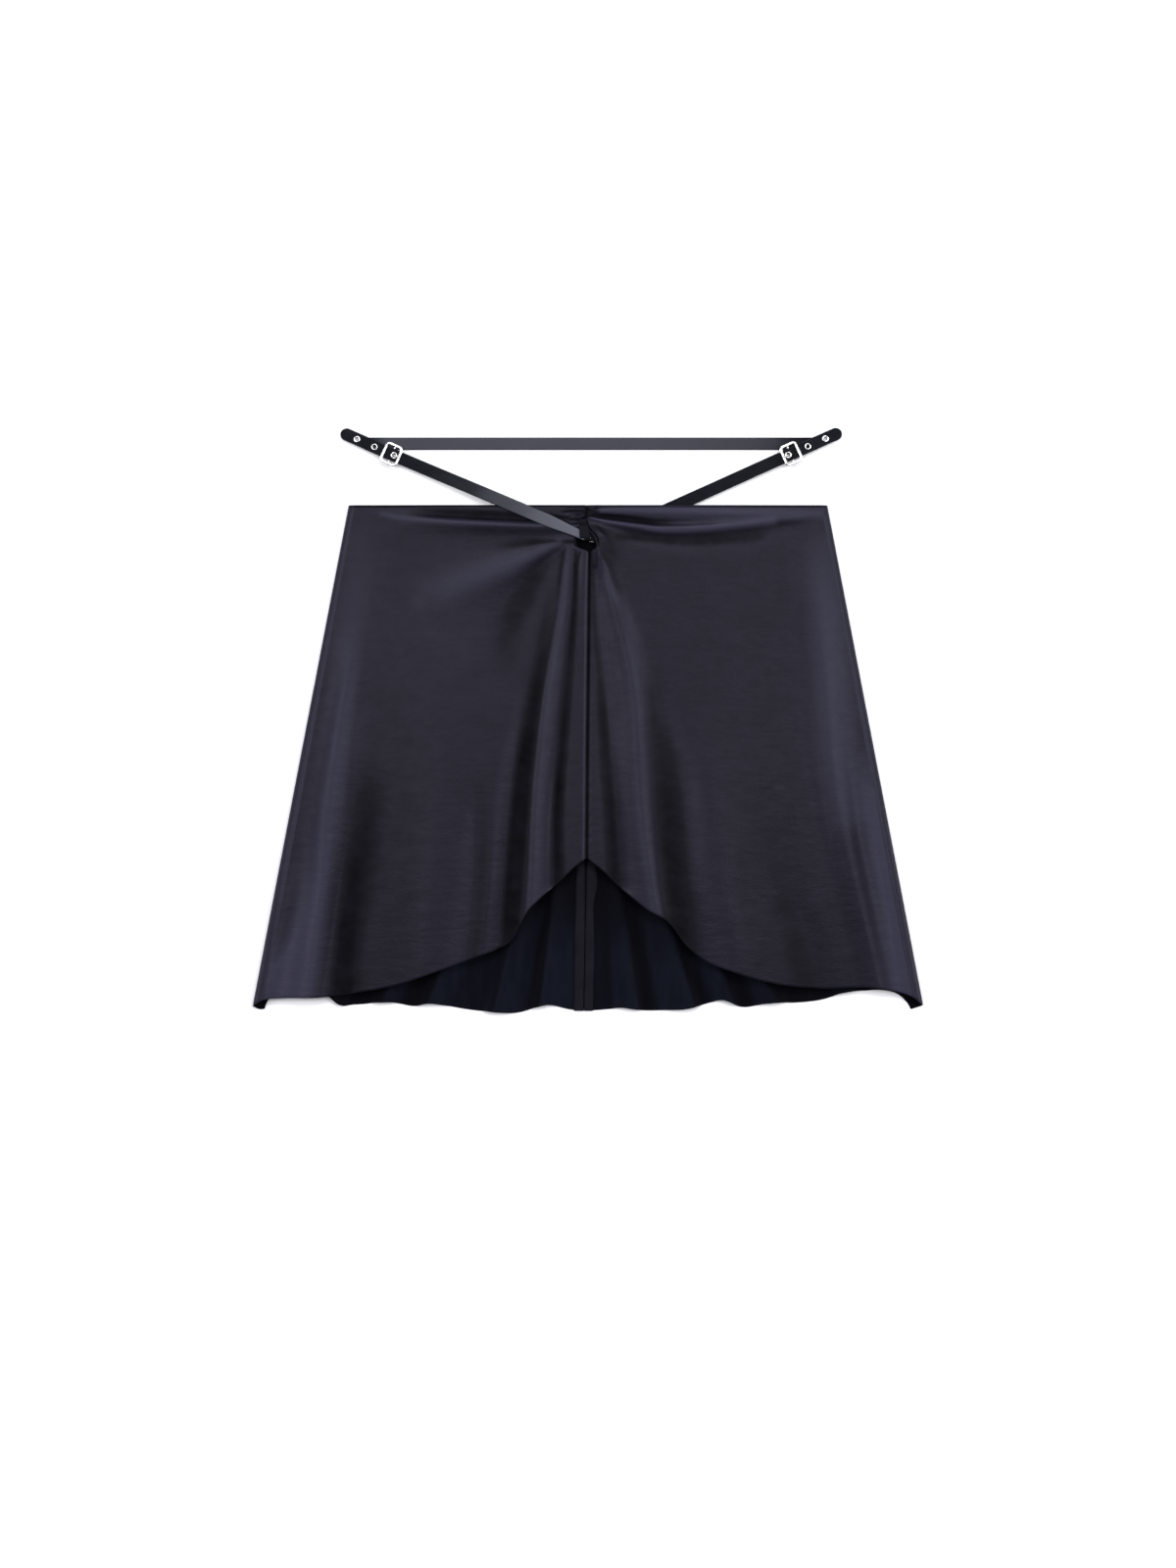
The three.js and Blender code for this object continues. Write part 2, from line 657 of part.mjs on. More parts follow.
function geometryFrom(solid) {
  const mesh = solid.getMesh();
  const geometry = new THREE.BufferGeometry();
  geometry.setAttribute("position", new THREE.BufferAttribute(mesh.vertProperties, 3));
  geometry.setIndex(new THREE.BufferAttribute(mesh.triVerts, 1));
  geometry.computeVertexNormals();
  return geometry;
}

// Places of the eyelets on a strap end, each with the tilt of the strap there
function eyeletPlacesOn(arm) {
  return eyeletPlaces.map((along) => {
    const before = armPoint(arm, along - 1, read(endRise, "along", along - 1, "height"));
    const after = armPoint(arm, along + 1, read(endRise, "along", along + 1, "height"));
    const course = after.clone().sub(before).normalize();
    const across = new THREE.Vector3(-course.y, course.x, 0).normalize();
    const upright = course.clone().cross(across).normalize();
    if (upright.z < 0) upright.negate();
    const at = before.add(after).multiplyScalar(0.5);
    return { at, turn: new THREE.Quaternion().setFromUnitVectors(new THREE.Vector3(0, 1, 0), upright) };
  });
}

function frontStrap() {
  const course = frontStrapPoints();
  const body = ribbon(strapSections(course.map((p) => p.point), course.map((p) => p.half)));
  let solid = solidFrom(body);
  [arms.left, arms.right].flatMap(eyeletPlacesOn).forEach(({ at, turn }) => {
    const hole = new THREE.CylinderGeometry(eyelet.cut, eyelet.cut, 6, 16);
    hole.applyQuaternion(turn).translate(at.x, at.y, at.z);
    solid = solid.subtract(solidFrom(hole));
  });
  return geometryFrom(solid);
}

// Sections of the back strap: level between the buckles, folded over at each end along a slanted
// crease, and on to the buckle, where it turns round the pin
function backStrapEnd(arm) {
  const half = strap.width / 2;
  const lower = strap.thickness / 2;
  const upper = pinLoop[0].height;
  const along = (arm.y - backStrapY) * Math.hypot(1, arm.tipSlope) / arm.tipSlope;
  const crease = armPoint(arm, along, 0);
  const inward = new THREE.Vector3(-arm.side, 0, 0);
  const toBuckle = new THREE.Vector3(-arm.side, -arm.tipSlope, 0).normalize();
  const fold = inward.clone().negate().add(toBuckle).normalize();
  const reach = half / Math.abs(fold.y);
  const slanted = fold.multiplyScalar(reach * Math.sign(fold.y));
  const outward = new THREE.Vector3(slanted.y, -slanted.x, 0).normalize();
  if (outward.x * arm.side < 0) outward.negate();
  const sections = [];
  [-90, -45, 0, 45, 90].forEach((degrees) => {
    const angle = THREE.MathUtils.degToRad(degrees);
    const radius = (upper - lower) / 2;
    const normal = outward.clone().multiplyScalar(Math.cos(angle));
    normal.z = Math.sin(angle);
    const at = new THREE.Vector3(crease.x, crease.y, (upper + lower) / 2).addScaledVector(normal, radius);
    sections.push({ at, half: slanted.clone(), thick: normal.multiplyScalar(strap.thickness / 2) });
  });
  const loop = pinLoop.map((row) => armPoint(arm, row.along, row.height));
  const across = new THREE.Vector3(-toBuckle.y, toBuckle.x, 0);
  if (across.y < 0) across.negate();
  const courses = loop.map((at, i) => {
    const before = i ? loop[i - 1] : armPoint(arm, along + 3, upper);
    const after = loop[Math.min(i + 1, loop.length - 1)];
    const tangent = after.clone().sub(before).normalize();
    const thick = tangent.clone().cross(across).normalize();
    return { at, half: across.clone().multiplyScalar(half), thick, tangent };
  });
  const start = sections[sections.length - 1].thick;
  const sign = Math.sign(courses[0].thick.dot(start));
  courses.forEach((section) => section.thick.multiplyScalar((sign * strap.thickness) / 2));
  return [...sections, ...courses];
}

function backStrap() {
  const right = backStrapEnd(arms.right);
  const left = backStrapEnd(arms.left);
  left.reverse();
  right.forEach((s) => s.half.multiplyScalar(Math.sign(s.half.y)));
  left.forEach((s) => s.half.multiplyScalar(Math.sign(s.half.y)));
  const body = ribbon([...left, ...right]);
  let solid = solidFrom(body);
  [arms.left, arms.right].forEach((arm) => {
    const slot = new THREE.BoxGeometry(strapSlot.length, strapSlot.width, strapSlot.height);
    slot.rotateZ(tilt(arm));
    slot.translate(arm.x, arm.y, strapSlot.bottom + strapSlot.height / 2);
    solid = solid.subtract(solidFrom(slot));
  });
  return geometryFrom(solid);
}

function tilt(arm) {
  return Math.atan(arm.tipSlope) * arm.side;
}

function roundedRectangle(shape, length, width, corner) {
  const x = length / 2 - corner;
  const y = width / 2 - corner;
  shape.absarc(x, y, corner, 0, Math.PI / 2);
  shape.absarc(-x, y, corner, Math.PI / 2, Math.PI);
  shape.absarc(-x, -y, corner, Math.PI, 1.5 * Math.PI);
  shape.absarc(x, -y, corner, 1.5 * Math.PI, 2 * Math.PI);
  shape.closePath();
  return shape;
}

// Buckle frame: a rounded square ring over the strap, with its pin set lower on two posts
function buckleFrame(arm) {
  const { length, width, corner, bevel } = buckle;
  const inset = buckle.bar - bevel;
  const shape = roundedRectangle(new THREE.Shape(), length - 2 * bevel, width - 2 * bevel, corner - bevel);
  const hole = roundedRectangle(new THREE.Path(), length - 2 * inset, width - 2 * inset, corner - inset);
  shape.holes.push(hole);
  const ring = new THREE.ExtrudeGeometry(shape, {
    depth: buckle.thickness - 2 * bevel,
    bevelThickness: bevel,
    bevelSize: bevel,
    bevelSegments: 1,
    curveSegments: 3,
  });
  ring.translate(0, 0, buckle.bottom + bevel);
  const reach = buckle.width / 2 - buckle.bar / 2;
  const pin = new THREE.CylinderGeometry(buckle.pinRadius, buckle.pinRadius, 2 * reach, 10);
  pin.translate(0, 0, buckle.pinHeight);
  let solid = solidFrom(ring).add(solidFrom(pin));
  [-1, 1].forEach((end) => {
    const foot = buckle.pinHeight - buckle.pinRadius;
    const height = buckle.bottom + buckle.thickness / 2 - foot;
    const post = new THREE.CylinderGeometry(buckle.postRadius, buckle.postRadius, height, 6);
    post.rotateX(Math.PI / 2);
    post.translate(0, end * reach, foot + height / 2);
    solid = solid.add(solidFrom(post));
  });
  const geometry = geometryFrom(solid);
  return geometry.rotateZ(tilt(arm)).translate(arm.x, arm.y, 0);
}

// Prong: an open eye round the pin, then up through the third eyelet and over the frame
function prong(arm) {
  const eye = buckle.pinRadius + clearance + prongRadius;
  const path = [-110, -160, -210, -260].map((degrees) => {
    const angle = THREE.MathUtils.degToRad(degrees);
    return new THREE.Vector3(eye * Math.cos(angle), 0, buckle.pinHeight + eye * Math.sin(angle));
  });
  const hole = eyeletPlaces[2];
  const over = buckle.bottom + buckle.thickness + clearance + prongRadius;
  prongRise.forEach(({ beyond, height }) => path.push(new THREE.Vector3(hole + beyond, 0, height)));
  path.push(new THREE.Vector3(hole + 2.6, 0, over), new THREE.Vector3(buckle.length / 2 + 0.5, 0, over));
  const section = new THREE.Shape();
  section.absarc(0, 0, prongRadius, 0, 2 * Math.PI);
  const tube = new THREE.ExtrudeGeometry(section, {
    steps: 20,
    curveSegments: 3,
    extrudePath: new THREE.CatmullRomCurve3(path),
  });
  if (arm.side > 0) tube.rotateZ(Math.PI);
  return tube.rotateZ(tilt(arm)).translate(arm.x, arm.y, 0);
}

function eyeletRing({ at, turn }) {
  const half = strap.thickness / 2;
  const under = half + strap.gap;
  const profile = [
    [eyelet.hole, -half],
    [eyelet.barrel, -half],
    [eyelet.barrel, under],
    [eyelet.flange, under],
    [eyelet.flange - eyelet.bevel, under + eyelet.flangeThickness],
    [eyelet.hole, under + eyelet.flangeThickness],
    [eyelet.hole, -half],
  ].map(([r, y]) => new THREE.Vector2(r, y));
  return new THREE.LatheGeometry(profile, 14).applyQuaternion(turn).translate(at.x, at.y, at.z);
}

// Front loop: a short tab from the seam, drawn down over the strap
function frontLoop() {
  const raised = (height) => height + strap.gap + loopThickness / 2;
  const seat = Math.max(...loopCourse.slice(0, 2).flatMap(({ x, half, drop }) =>
    [-1, 0, 1].map((k) => raised(frontTop(x + k * half, drop, -1)))));
  const top = raised(slit.strapHeight + strap.thickness / 2) + 0.13;
  const points = loopCourse.map(
    ({ drop, x, climb }) => new THREE.Vector3(x, waistY - drop, mix(seat, top, climb)),
  );
  const sections = points.map((at, i) => {
    const before = points[Math.max(i - 1, 0)];
    const after = points[Math.min(i + 1, points.length - 1)];
    const tangent = after.clone().sub(before).normalize();
    const across = new THREE.Vector3(1, 0, 0);
    const thick = across.clone().cross(tangent).normalize().multiplyScalar(loopThickness / 2);
    return { at, half: across.multiplyScalar(loopCourse[i].half), thick };
  });
  return ribbon(sections);
}

const skirt = new THREE.Group();

function add(name, geometry, finish) {
  const mesh = new THREE.Mesh(geometry, finish);
  mesh.name = name;
  skirt.add(mesh);
}

add("front_left", frontPanel(-1), material(colours.leather, 0.5));
add("front_right", frontPanel(1), material(colours.leather, 0.5));
add("back_left", backPanel(-1), material(colours.suede, 0.85));
add("back_right", backPanel(1), material(colours.suede, 0.85));
add("front_loop", frontLoop(), material(colours.leather, 0.35));
add("front_strap", frontStrap(), material(colours.strap, 0.45));
add("back_strap", backStrap(), material(colours.strap, 0.45));
Object.entries(arms).forEach(([name, arm]) => {
  add("buckle_" + name, buckleFrame(arm), material(colours.nickel, 0.2, 1));
  add("prong_" + name, prong(arm), material(colours.nickel, 0.2, 1));
  eyeletPlacesOn(arm).forEach((place, i) => {
    add("eyelet_" + name + "_" + (i + 1), eyeletRing(place), material(colours.nickel, 0.2, 1));
  });
});

export default skirt;
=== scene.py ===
import math
import bpy
import numpy as np
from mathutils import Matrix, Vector


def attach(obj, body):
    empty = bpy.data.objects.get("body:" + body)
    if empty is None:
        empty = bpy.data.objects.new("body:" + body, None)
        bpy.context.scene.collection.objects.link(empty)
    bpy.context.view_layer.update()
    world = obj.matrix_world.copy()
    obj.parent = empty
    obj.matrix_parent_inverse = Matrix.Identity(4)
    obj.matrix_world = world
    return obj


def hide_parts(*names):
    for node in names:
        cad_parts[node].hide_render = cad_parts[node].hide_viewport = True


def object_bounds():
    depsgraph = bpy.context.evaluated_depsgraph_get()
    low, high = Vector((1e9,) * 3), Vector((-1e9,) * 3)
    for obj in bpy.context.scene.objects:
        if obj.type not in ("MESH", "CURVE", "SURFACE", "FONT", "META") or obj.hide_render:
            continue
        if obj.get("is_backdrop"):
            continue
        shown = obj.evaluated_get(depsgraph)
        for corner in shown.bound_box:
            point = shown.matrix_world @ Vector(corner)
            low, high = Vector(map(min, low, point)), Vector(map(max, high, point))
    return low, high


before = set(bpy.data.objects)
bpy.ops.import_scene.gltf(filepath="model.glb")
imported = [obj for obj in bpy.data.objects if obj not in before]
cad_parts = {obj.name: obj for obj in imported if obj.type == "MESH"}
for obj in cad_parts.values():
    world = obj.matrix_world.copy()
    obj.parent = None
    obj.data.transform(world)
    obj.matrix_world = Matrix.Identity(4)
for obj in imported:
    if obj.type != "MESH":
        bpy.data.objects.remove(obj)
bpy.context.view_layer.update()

# The shapes below are worked out in millimetres and put in as metres.
# "drop" is the distance below the waist edge, "out" the distance from the centre seam.
mm = 0.001
waistY = 174.9
sideSeam = 408.0


def smooth(t):
    k = np.clip(t, 0, 1)
    return k * k * (3 - 2 * k)


def mix(a, b, t):
    return a + (b - a) * t


# value from a table along a soft curve: Catmull slopes at the rows, Hermite between them
def read(table, at):
    keys, values = np.array(table, float).T
    slopes = np.gradient(values, keys)
    i = np.clip(np.searchsorted(keys, at, side="right") - 1, 0, len(keys) - 2)
    span = keys[i + 1] - keys[i]
    t = np.clip((at - keys[i]) / span, 0, 1)
    curve = mix(values[i], values[i + 1], t * t * (3 - 2 * t))
    return curve + span * (slopes[i] * t * (1 - t) ** 2 - slopes[i + 1] * t * t * (1 - t))


# a smooth line through rows of numbers, at evenly spaced steps: Catmull-Rom between the rows
def spline(rows, steps):
    rows = np.array(rows, float)
    at = np.linspace(0, len(rows) - 1, steps)
    i = np.clip(at.astype(int), 0, len(rows) - 2)
    t = (at - i)[:, None]
    p = [rows[np.clip(i + k, 0, len(rows) - 1)] for k in (-1, 0, 1, 2)]
    return 0.5 * (2 * p[1] + (p[2] - p[0]) * t + (2 * p[0] - 5 * p[1] + 4 * p[2] - p[3]) * t ** 2
                  + (3 * p[1] - p[0] - 3 * p[2] + p[3]) * t ** 3)


def unit(v):
    return v / np.maximum(np.linalg.norm(v, axis=-1, keepdims=True), 1e-12)


# meshes
def addPiece(name, points, quads, materials, slot, index=None, sharp=40.0, values=None):
    corners = np.asarray(points, float)
    quads = np.asarray(quads, int)
    a, b, c, d = (corners[quads[:, k]] for k in range(4))
    volume = np.einsum("ij,ij->i", a, np.cross(b, c)).sum() + np.einsum("ij,ij->i", a, np.cross(c, d)).sum()
    if volume < 0:
        quads = quads[:, ::-1]
    mesh = bpy.data.meshes.new(name)
    mesh.vertices.add(len(corners))
    mesh.vertices.foreach_set("co", (corners * mm).astype(np.float32).ravel())
    mesh.loops.add(quads.size)
    mesh.loops.foreach_set("vertex_index", quads.astype(np.int32).ravel())
    mesh.polygons.add(len(quads))
    mesh.polygons.foreach_set("loop_start", np.arange(0, quads.size, 4, dtype=np.int32))
    mesh.polygons.foreach_set("loop_total", np.full(len(quads), 4, np.int32))
    for material in materials:
        mesh.materials.append(material)
    if index is not None:
        mesh.polygons.foreach_set("material_index", np.asarray(index, np.int32))
    mesh.update(calc_edges=True)
    for key, numbers in (values or {}).items():
        attribute = mesh.attributes.new(key, "FLOAT", "POINT")
        attribute.data.foreach_set("value", np.asarray(numbers, np.float32).ravel())
    mesh.validate()
    mesh.shade_smooth()
    mesh.set_sharp_from_angle(angle=math.radians(sharp))
    piece = bpy.data.objects.new(name, mesh)
    bpy.context.scene.collection.objects.link(piece)
    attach(piece, "root")
    return piece


# quads of a grid of u by v points, numbered row by row from a first point
def gridQuads(u, v, first=0, turned=False):
    i = (np.arange(u - 1)[:, None] * v + np.arange(v - 1)).ravel() + first
    quads = np.stack([i, i + v, i + v + 1, i + 1], axis=1)
    return quads[:, ::-1] if turned else quads


# a closed shell between an outer and an inner grid, with its rim
def shellPiece(name, outer, inner, materials, slot, innerIndex=0, sharp=40.0, values=None):
    u, v = outer.shape[:2]
    number = np.arange(u * v).reshape(u, v)
    ring = np.concatenate([number[:, 0], number[-1, 1:], number[-2::-1, -1], number[0, -2:0:-1]])
    after = np.roll(ring, -1)
    rim = np.stack([after, ring, ring + u * v, after + u * v], axis=1)
    front = gridQuads(u, v)
    quads = np.concatenate([front, gridQuads(u, v, u * v, True), rim])
    index = np.concatenate([np.zeros(len(front)), np.full(len(front), innerIndex), np.zeros(len(rim))])
    points = np.concatenate([outer.reshape(-1, 3), inner.reshape(-1, 3)])
    both = {key: np.tile(np.ravel(numbers), 2) for key, numbers in (values or {}).items()}
    return addPiece(name, points, quads, materials, slot, index, sharp, both)


# a closed tube of sections: at + a * half + b * thick for each (a, b) of the profile
def ribbonPiece(name, at, half, thick, profile, materials, slot, edgeIndex=0, sharp=40.0, values=None):
    profile = np.asarray(profile, float)
    n, k = len(at), len(profile)
    points = (at[:, None] + profile[None, :, :1] * half[:, None] + profile[None, :, 1:] * thick[:, None])
    step = np.arange(k)
    ahead = (step + 1) % k
    i = np.arange(n - 1)[:, None] * k
    quads = np.stack([i + step, i + ahead, i + k + ahead, i + k + step], axis=-1).reshape(-1, 4)
    onEdge = (np.abs(profile[:, 0] + profile[ahead, 0]) / 2 > 0.93).astype(int) * edgeIndex
    index = np.tile(onEdge, n - 1)
    points = points.reshape(-1, 3)
    caps = []
    for end in (0, n - 1):
        ring = end * k + step
        middle = len(points)
        points = np.concatenate([points, points[ring].mean(axis=0, keepdims=True)])
        pairs = np.arange(0, k, 2)
        fan = np.stack([np.full(len(pairs), middle), ring[pairs], ring[(pairs + 1) % k],
                        ring[(pairs + 2) % k]], axis=1)
        caps.append(fan[:, ::-1] if end == 0 else fan)
    quads = np.concatenate([quads, *caps])
    index = np.concatenate([index, np.zeros(len(quads) - len(index))])
    each = {}
    for key, numbers in (values or {}).items():
        each[key] = np.append(np.repeat(numbers, k), (numbers[0], numbers[-1]))
    return addPiece(name, points, quads, materials, slot, index, sharp, each)


# outline of a strap's section: flat faces with a slight crown, round edges
def strapProfile(halfWidth, halfThick, crown=0.12):
    r = halfThick / halfWidth
    turn = np.linspace(-90, 90, 9)[1:-1]
    flat = np.linspace(-1 + r, 1 - r, 8)
    top = [(a, 1 + crown * (1 - a * a)) for a in flat[::-1]]
    bottom = [(a, -1) for a in flat]
    right = [(1 - r + r * math.cos(math.radians(d)), math.sin(math.radians(d))) for d in turn]
    left = [(-a, b) for a, b in right[::-1]]
    return bottom + right + top + left


# materials
def newMaterial(name):
    material = bpy.data.materials.new(name)
    material.use_nodes = True
    nodes = material.node_tree.nodes
    return material, nodes, material.node_tree.links, nodes["Principled BSDF"]


def addNoise(nodes, links, coordinates, scale, stretch=(1, 1, 1), detail=4.0, turn=0.0):
    mapping = nodes.new("ShaderNodeMapping")
    mapping.inputs["Scale"].default_value = stretch
    mapping.inputs["Rotation"].default_value = (0, 0, math.radians(turn))
    links.new(coordinates, mapping.inputs["Vector"])
    noise = nodes.new("ShaderNodeTexNoise")
    noise.inputs["Scale"].default_value = scale
    noise.inputs["Detail"].default_value = detail
    links.new(mapping.outputs["Vector"], noise.inputs["Vector"])
    return noise.outputs["Fac"]


def addRamp(nodes, links, value, stops):
    ramp = nodes.new("ShaderNodeValToRGB")
    while len(ramp.color_ramp.elements) < len(stops):
        ramp.color_ramp.elements.new(0.5)
    for element, (place, colour) in zip(ramp.color_ramp.elements, stops):
        element.position = place
        element.color = (*colour, 1) if len(colour) == 3 else colour
    links.new(value, ramp.inputs["Fac"])
    return ramp.outputs["Color"]


def addBump(nodes, links, height, strength, distance, normal=None):
    bump = nodes.new("ShaderNodeBump")
    bump.inputs["Strength"].default_value = strength
    bump.inputs["Distance"].default_value = distance
    links.new(height, bump.inputs["Height"])
    if normal is not None:
        links.new(normal, bump.inputs["Normal"])
    return bump.outputs["Normal"]


# nappa leather: cloudy colour and gloss, fine pebbled grain, very shallow unevenness. With the sheen
# values the leather is as rough as "rough" where they are 0 and as rough as the sheen roughness from "reach"
# on, and from about there its colour goes over to the light sheen colour, a painted highlight.
def leatherMaterial(name, dark, light, rough, uneven=1.0, grain=1.0, specular=0.085, tint=(0.83, 0.81, 1.0),
                    glossAndPaintedSheen=None, reach=1.0, paintedSheenColour=None):
    material, nodes, links, shader = newMaterial(name)
    place = nodes.new("ShaderNodeTexCoord").outputs["Object"]
    cloud = addNoise(nodes, links, place, 52, (1, 1.3, 1), 6)
    colour = addRamp(nodes, links, cloud, [(0.34, dark), (0.68, light)])
    patches = addNoise(nodes, links, place, 100, (1, 1.5, 1), 6, 8)
    if glossAndPaintedSheen is None:
        tone = addRamp(nodes, links, patches, [(0.32, (rough - 0.045,) * 3), (0.7, (rough + 0.06,) * 3)])
    else:
        values = nodes.new("ShaderNodeAttribute")
        values.attribute_name = "glossAndPaintedSheen"
        level = addRamp(nodes, links, values.outputs["Fac"], [(0.0, (rough,) * 3), (reach, (glossAndPaintedSheen,) * 3)])
        spread = nodes.new("ShaderNodeMath")
        spread.operation = "MULTIPLY"
        links.new(level, spread.inputs[0])
        links.new(addRamp(nodes, links, patches, [(0.32, (0.87,) * 3), (0.7, (1.05,) * 3)]), spread.inputs[1])
        tone = spread.outputs["Value"]
        start = 0.0 if reach == 1 else reach - 0.1
        # painted highlight: the colour blends towards the light sheen colour
        blend = nodes.new("ShaderNodeMix")
        blend.data_type = "RGBA"
        links.new(addRamp(nodes, links, values.outputs["Fac"], [(start, (0, 0, 0)), (1.0, (1, 1, 1))]),
                  blend.inputs["Factor"])
        links.new(colour, blend.inputs["A"])
        blend.inputs["B"].default_value = (*paintedSheenColour, 1)
        colour = blend.outputs["Result"]
    links.new(colour, shader.inputs["Base Color"])
    links.new(tone, shader.inputs["Roughness"])
    swell = addNoise(nodes, links, place, 58, (1, 1.6, 1), 4, 14)
    normal = addBump(nodes, links, swell, 0.2 * uneven, 0.0011)
    ripples = addNoise(nodes, links, place, 130, (0.6, 2, 1), 5, -5)
    normal = addBump(nodes, links, ripples, 0.3 * uneven, 0.00055, normal)
    cells = nodes.new("ShaderNodeTexVoronoi")
    cells.inputs["Scale"].default_value = 950
    links.new(place, cells.inputs["Vector"])
    normal = addBump(nodes, links, cells.outputs["Distance"], 0.3 * grain, 0.00018, normal)
    links.new(normal, shader.inputs["Normal"])
    shader.inputs["Specular IOR Level"].default_value = specular
    shader.inputs["Specular Tint"].default_value = (*tint, 1)
    return material


# flesh side: short matt nap in soft streaks; the painted light values mix from the "shade" colour (painted
# shade) to the streaked colours (painted light)
def suedeMaterial(name, shade, dark, light):
    material, nodes, links, shader = newMaterial(name)
    place = nodes.new("ShaderNodeTexCoord").outputs["Object"]
    streaks = addNoise(nodes, links, place, 46, (3, 1, 1), 6, 6)
    brushed = addRamp(nodes, links, streaks, [(0.3, dark), (0.7, light)])
    values = nodes.new("ShaderNodeAttribute")
    values.attribute_name = "paintedLight"
    blend = nodes.new("ShaderNodeMix")
    blend.data_type = "RGBA"
    links.new(values.outputs["Fac"], blend.inputs["Factor"])
    blend.inputs["A"].default_value = (*shade, 1)
    links.new(brushed, blend.inputs["B"])
    links.new(blend.outputs["Result"], shader.inputs["Base Color"])
    fibres = addNoise(nodes, links, place, 1500, detail=2)
    normal = addBump(nodes, links, fibres, 0.35, 0.0002)
    soft = addNoise(nodes, links, place, 120, (2, 1, 1), 4)
    links.new(addBump(nodes, links, soft, 0.22, 0.0008, normal), shader.inputs["Normal"])
    shader.inputs["Roughness"].default_value = 0.85
    shader.inputs["Specular IOR Level"].default_value = 0.05
    shader.inputs["Sheen Weight"].default_value = 0.02
    shader.inputs["Sheen Roughness"].default_value = 0.5
    shader.inputs["Sheen Tint"].default_value = (0.55, 0.65, 1, 1)
    return material


# polished nickel with faint wear in its gloss
def metalMaterial(name, colour, rough):
    material, nodes, links, shader = newMaterial(name)
    place = nodes.new("ShaderNodeTexCoord").outputs["Object"]
    wear = addNoise(nodes, links, place, 420, detail=5)
    links.new(addRamp(nodes, links, wear, [(0.35, (rough,) * 3), (0.8, (rough + 0.12,) * 3)]),
              shader.inputs["Roughness"])
    tint = addNoise(nodes, links, place, 150, detail=2)
    dull = tuple(0.92 * c for c in colour)
    links.new(addRamp(nodes, links, tint, [(0.35, dull), (0.7, colour)]), shader.inputs["Base Color"])
    shader.inputs["Metallic"].default_value = 1
    return material


# thread or cut edge: one colour with a short twist in its bump
def threadMaterial(name, dark, light, specular=0.2):
    material, nodes, links, shader = newMaterial(name)
    place = nodes.new("ShaderNodeTexCoord").outputs["Object"]
    twist = addNoise(nodes, links, place, 900, detail=2)
    links.new(addRamp(nodes, links, twist, [(0.35, dark), (0.7, light)]), shader.inputs["Base Color"])
    links.new(addBump(nodes, links, twist, 0.4, 0.0002), shader.inputs["Normal"])
    shader.inputs["Roughness"].default_value = 0.6
    shader.inputs["Specular IOR Level"].default_value = specular
    return material


# painted highlights: the sheen values lighten the front towards a violet grey on crests and edges
frontLeather = leatherMaterial("frontLeather", (0.0016, 0.0015, 0.0022), (0.0036, 0.0033, 0.0052),
                               rough=0.95, grain=0.6, specular=0.092, glossAndPaintedSheen=0.36, reach=0.4,
                               paintedSheenColour=(0.024, 0.0225, 0.037))
grainLeather = leatherMaterial("grainLeather", (0.0030, 0.0028, 0.0042), (0.0054, 0.0050, 0.0078), 0.335,
                               specular=0.1)
insideSuede = suedeMaterial("insideSuede", (0.0011, 0.0010, 0.0022), (0.0028, 0.0036, 0.0076),
                            (0.0043, 0.0056, 0.0110))
allowanceLeather = leatherMaterial("allowanceLeather", (0.0042, 0.004, 0.0058), (0.0062, 0.0058, 0.0085),
                                   rough=0.55, uneven=0.5, specular=0.06)
# painted highlight: the sheen values lighten the strap towards a pale grey near the knot
strapLeather = leatherMaterial("strapLeather", (0.0036, 0.0038, 0.0058), (0.0058, 0.0062, 0.0092),
                               rough=0.95, uneven=0.3, grain=0.6, specular=0.15, tint=(0.9, 0.93, 1.0),
                               glossAndPaintedSheen=0.34, reach=0.35, paintedSheenColour=(0.1, 0.105, 0.128))
edgePaint = threadMaterial("edgePaint", (0.008, 0.0085, 0.012), (0.016, 0.017, 0.022))
# the loop's own dark leather, also used as painted shade on the strap in the slit
loopLeatherAndShade = leatherMaterial("loopLeatherAndShade", (0.0026, 0.0026, 0.0036), (0.0045, 0.0045, 0.006),
                              rough=0.5, uneven=0.8, grain=0.7, specular=0.05)
glossLeather = leatherMaterial("glossLeather", (0.003, 0.003, 0.004), (0.005, 0.005, 0.0065),
                               rough=0.09, uneven=0.2, grain=0.2, specular=1.0, tint=(1, 1, 1))
# dark thread, also used as the painted shade in the open slit
seamThreadAndShade = threadMaterial("seamThreadAndShade", (0.0008, 0.0008, 0.0012), (0.0016, 0.0016, 0.0022), 0.01)
nickel = metalMaterial("nickel", (0.66, 0.65, 0.64), 0.1)
print("materials ready")

# sizes shared by the panels
panel = {
    "waistHalf": 195.0, "hemHalf": 273.0, "reachWaist": 5.5, "reachHem": 10.0,
    "seamWaist": 3.0, "seamHem": 4.8, "topWaist": 7.6, "topHem": 11.0,
    "waistHeight": 9.8, "hemHeight": 17.2, "crownFlat": 0.45, "gap": 0.3, "leather": 0.95,
}

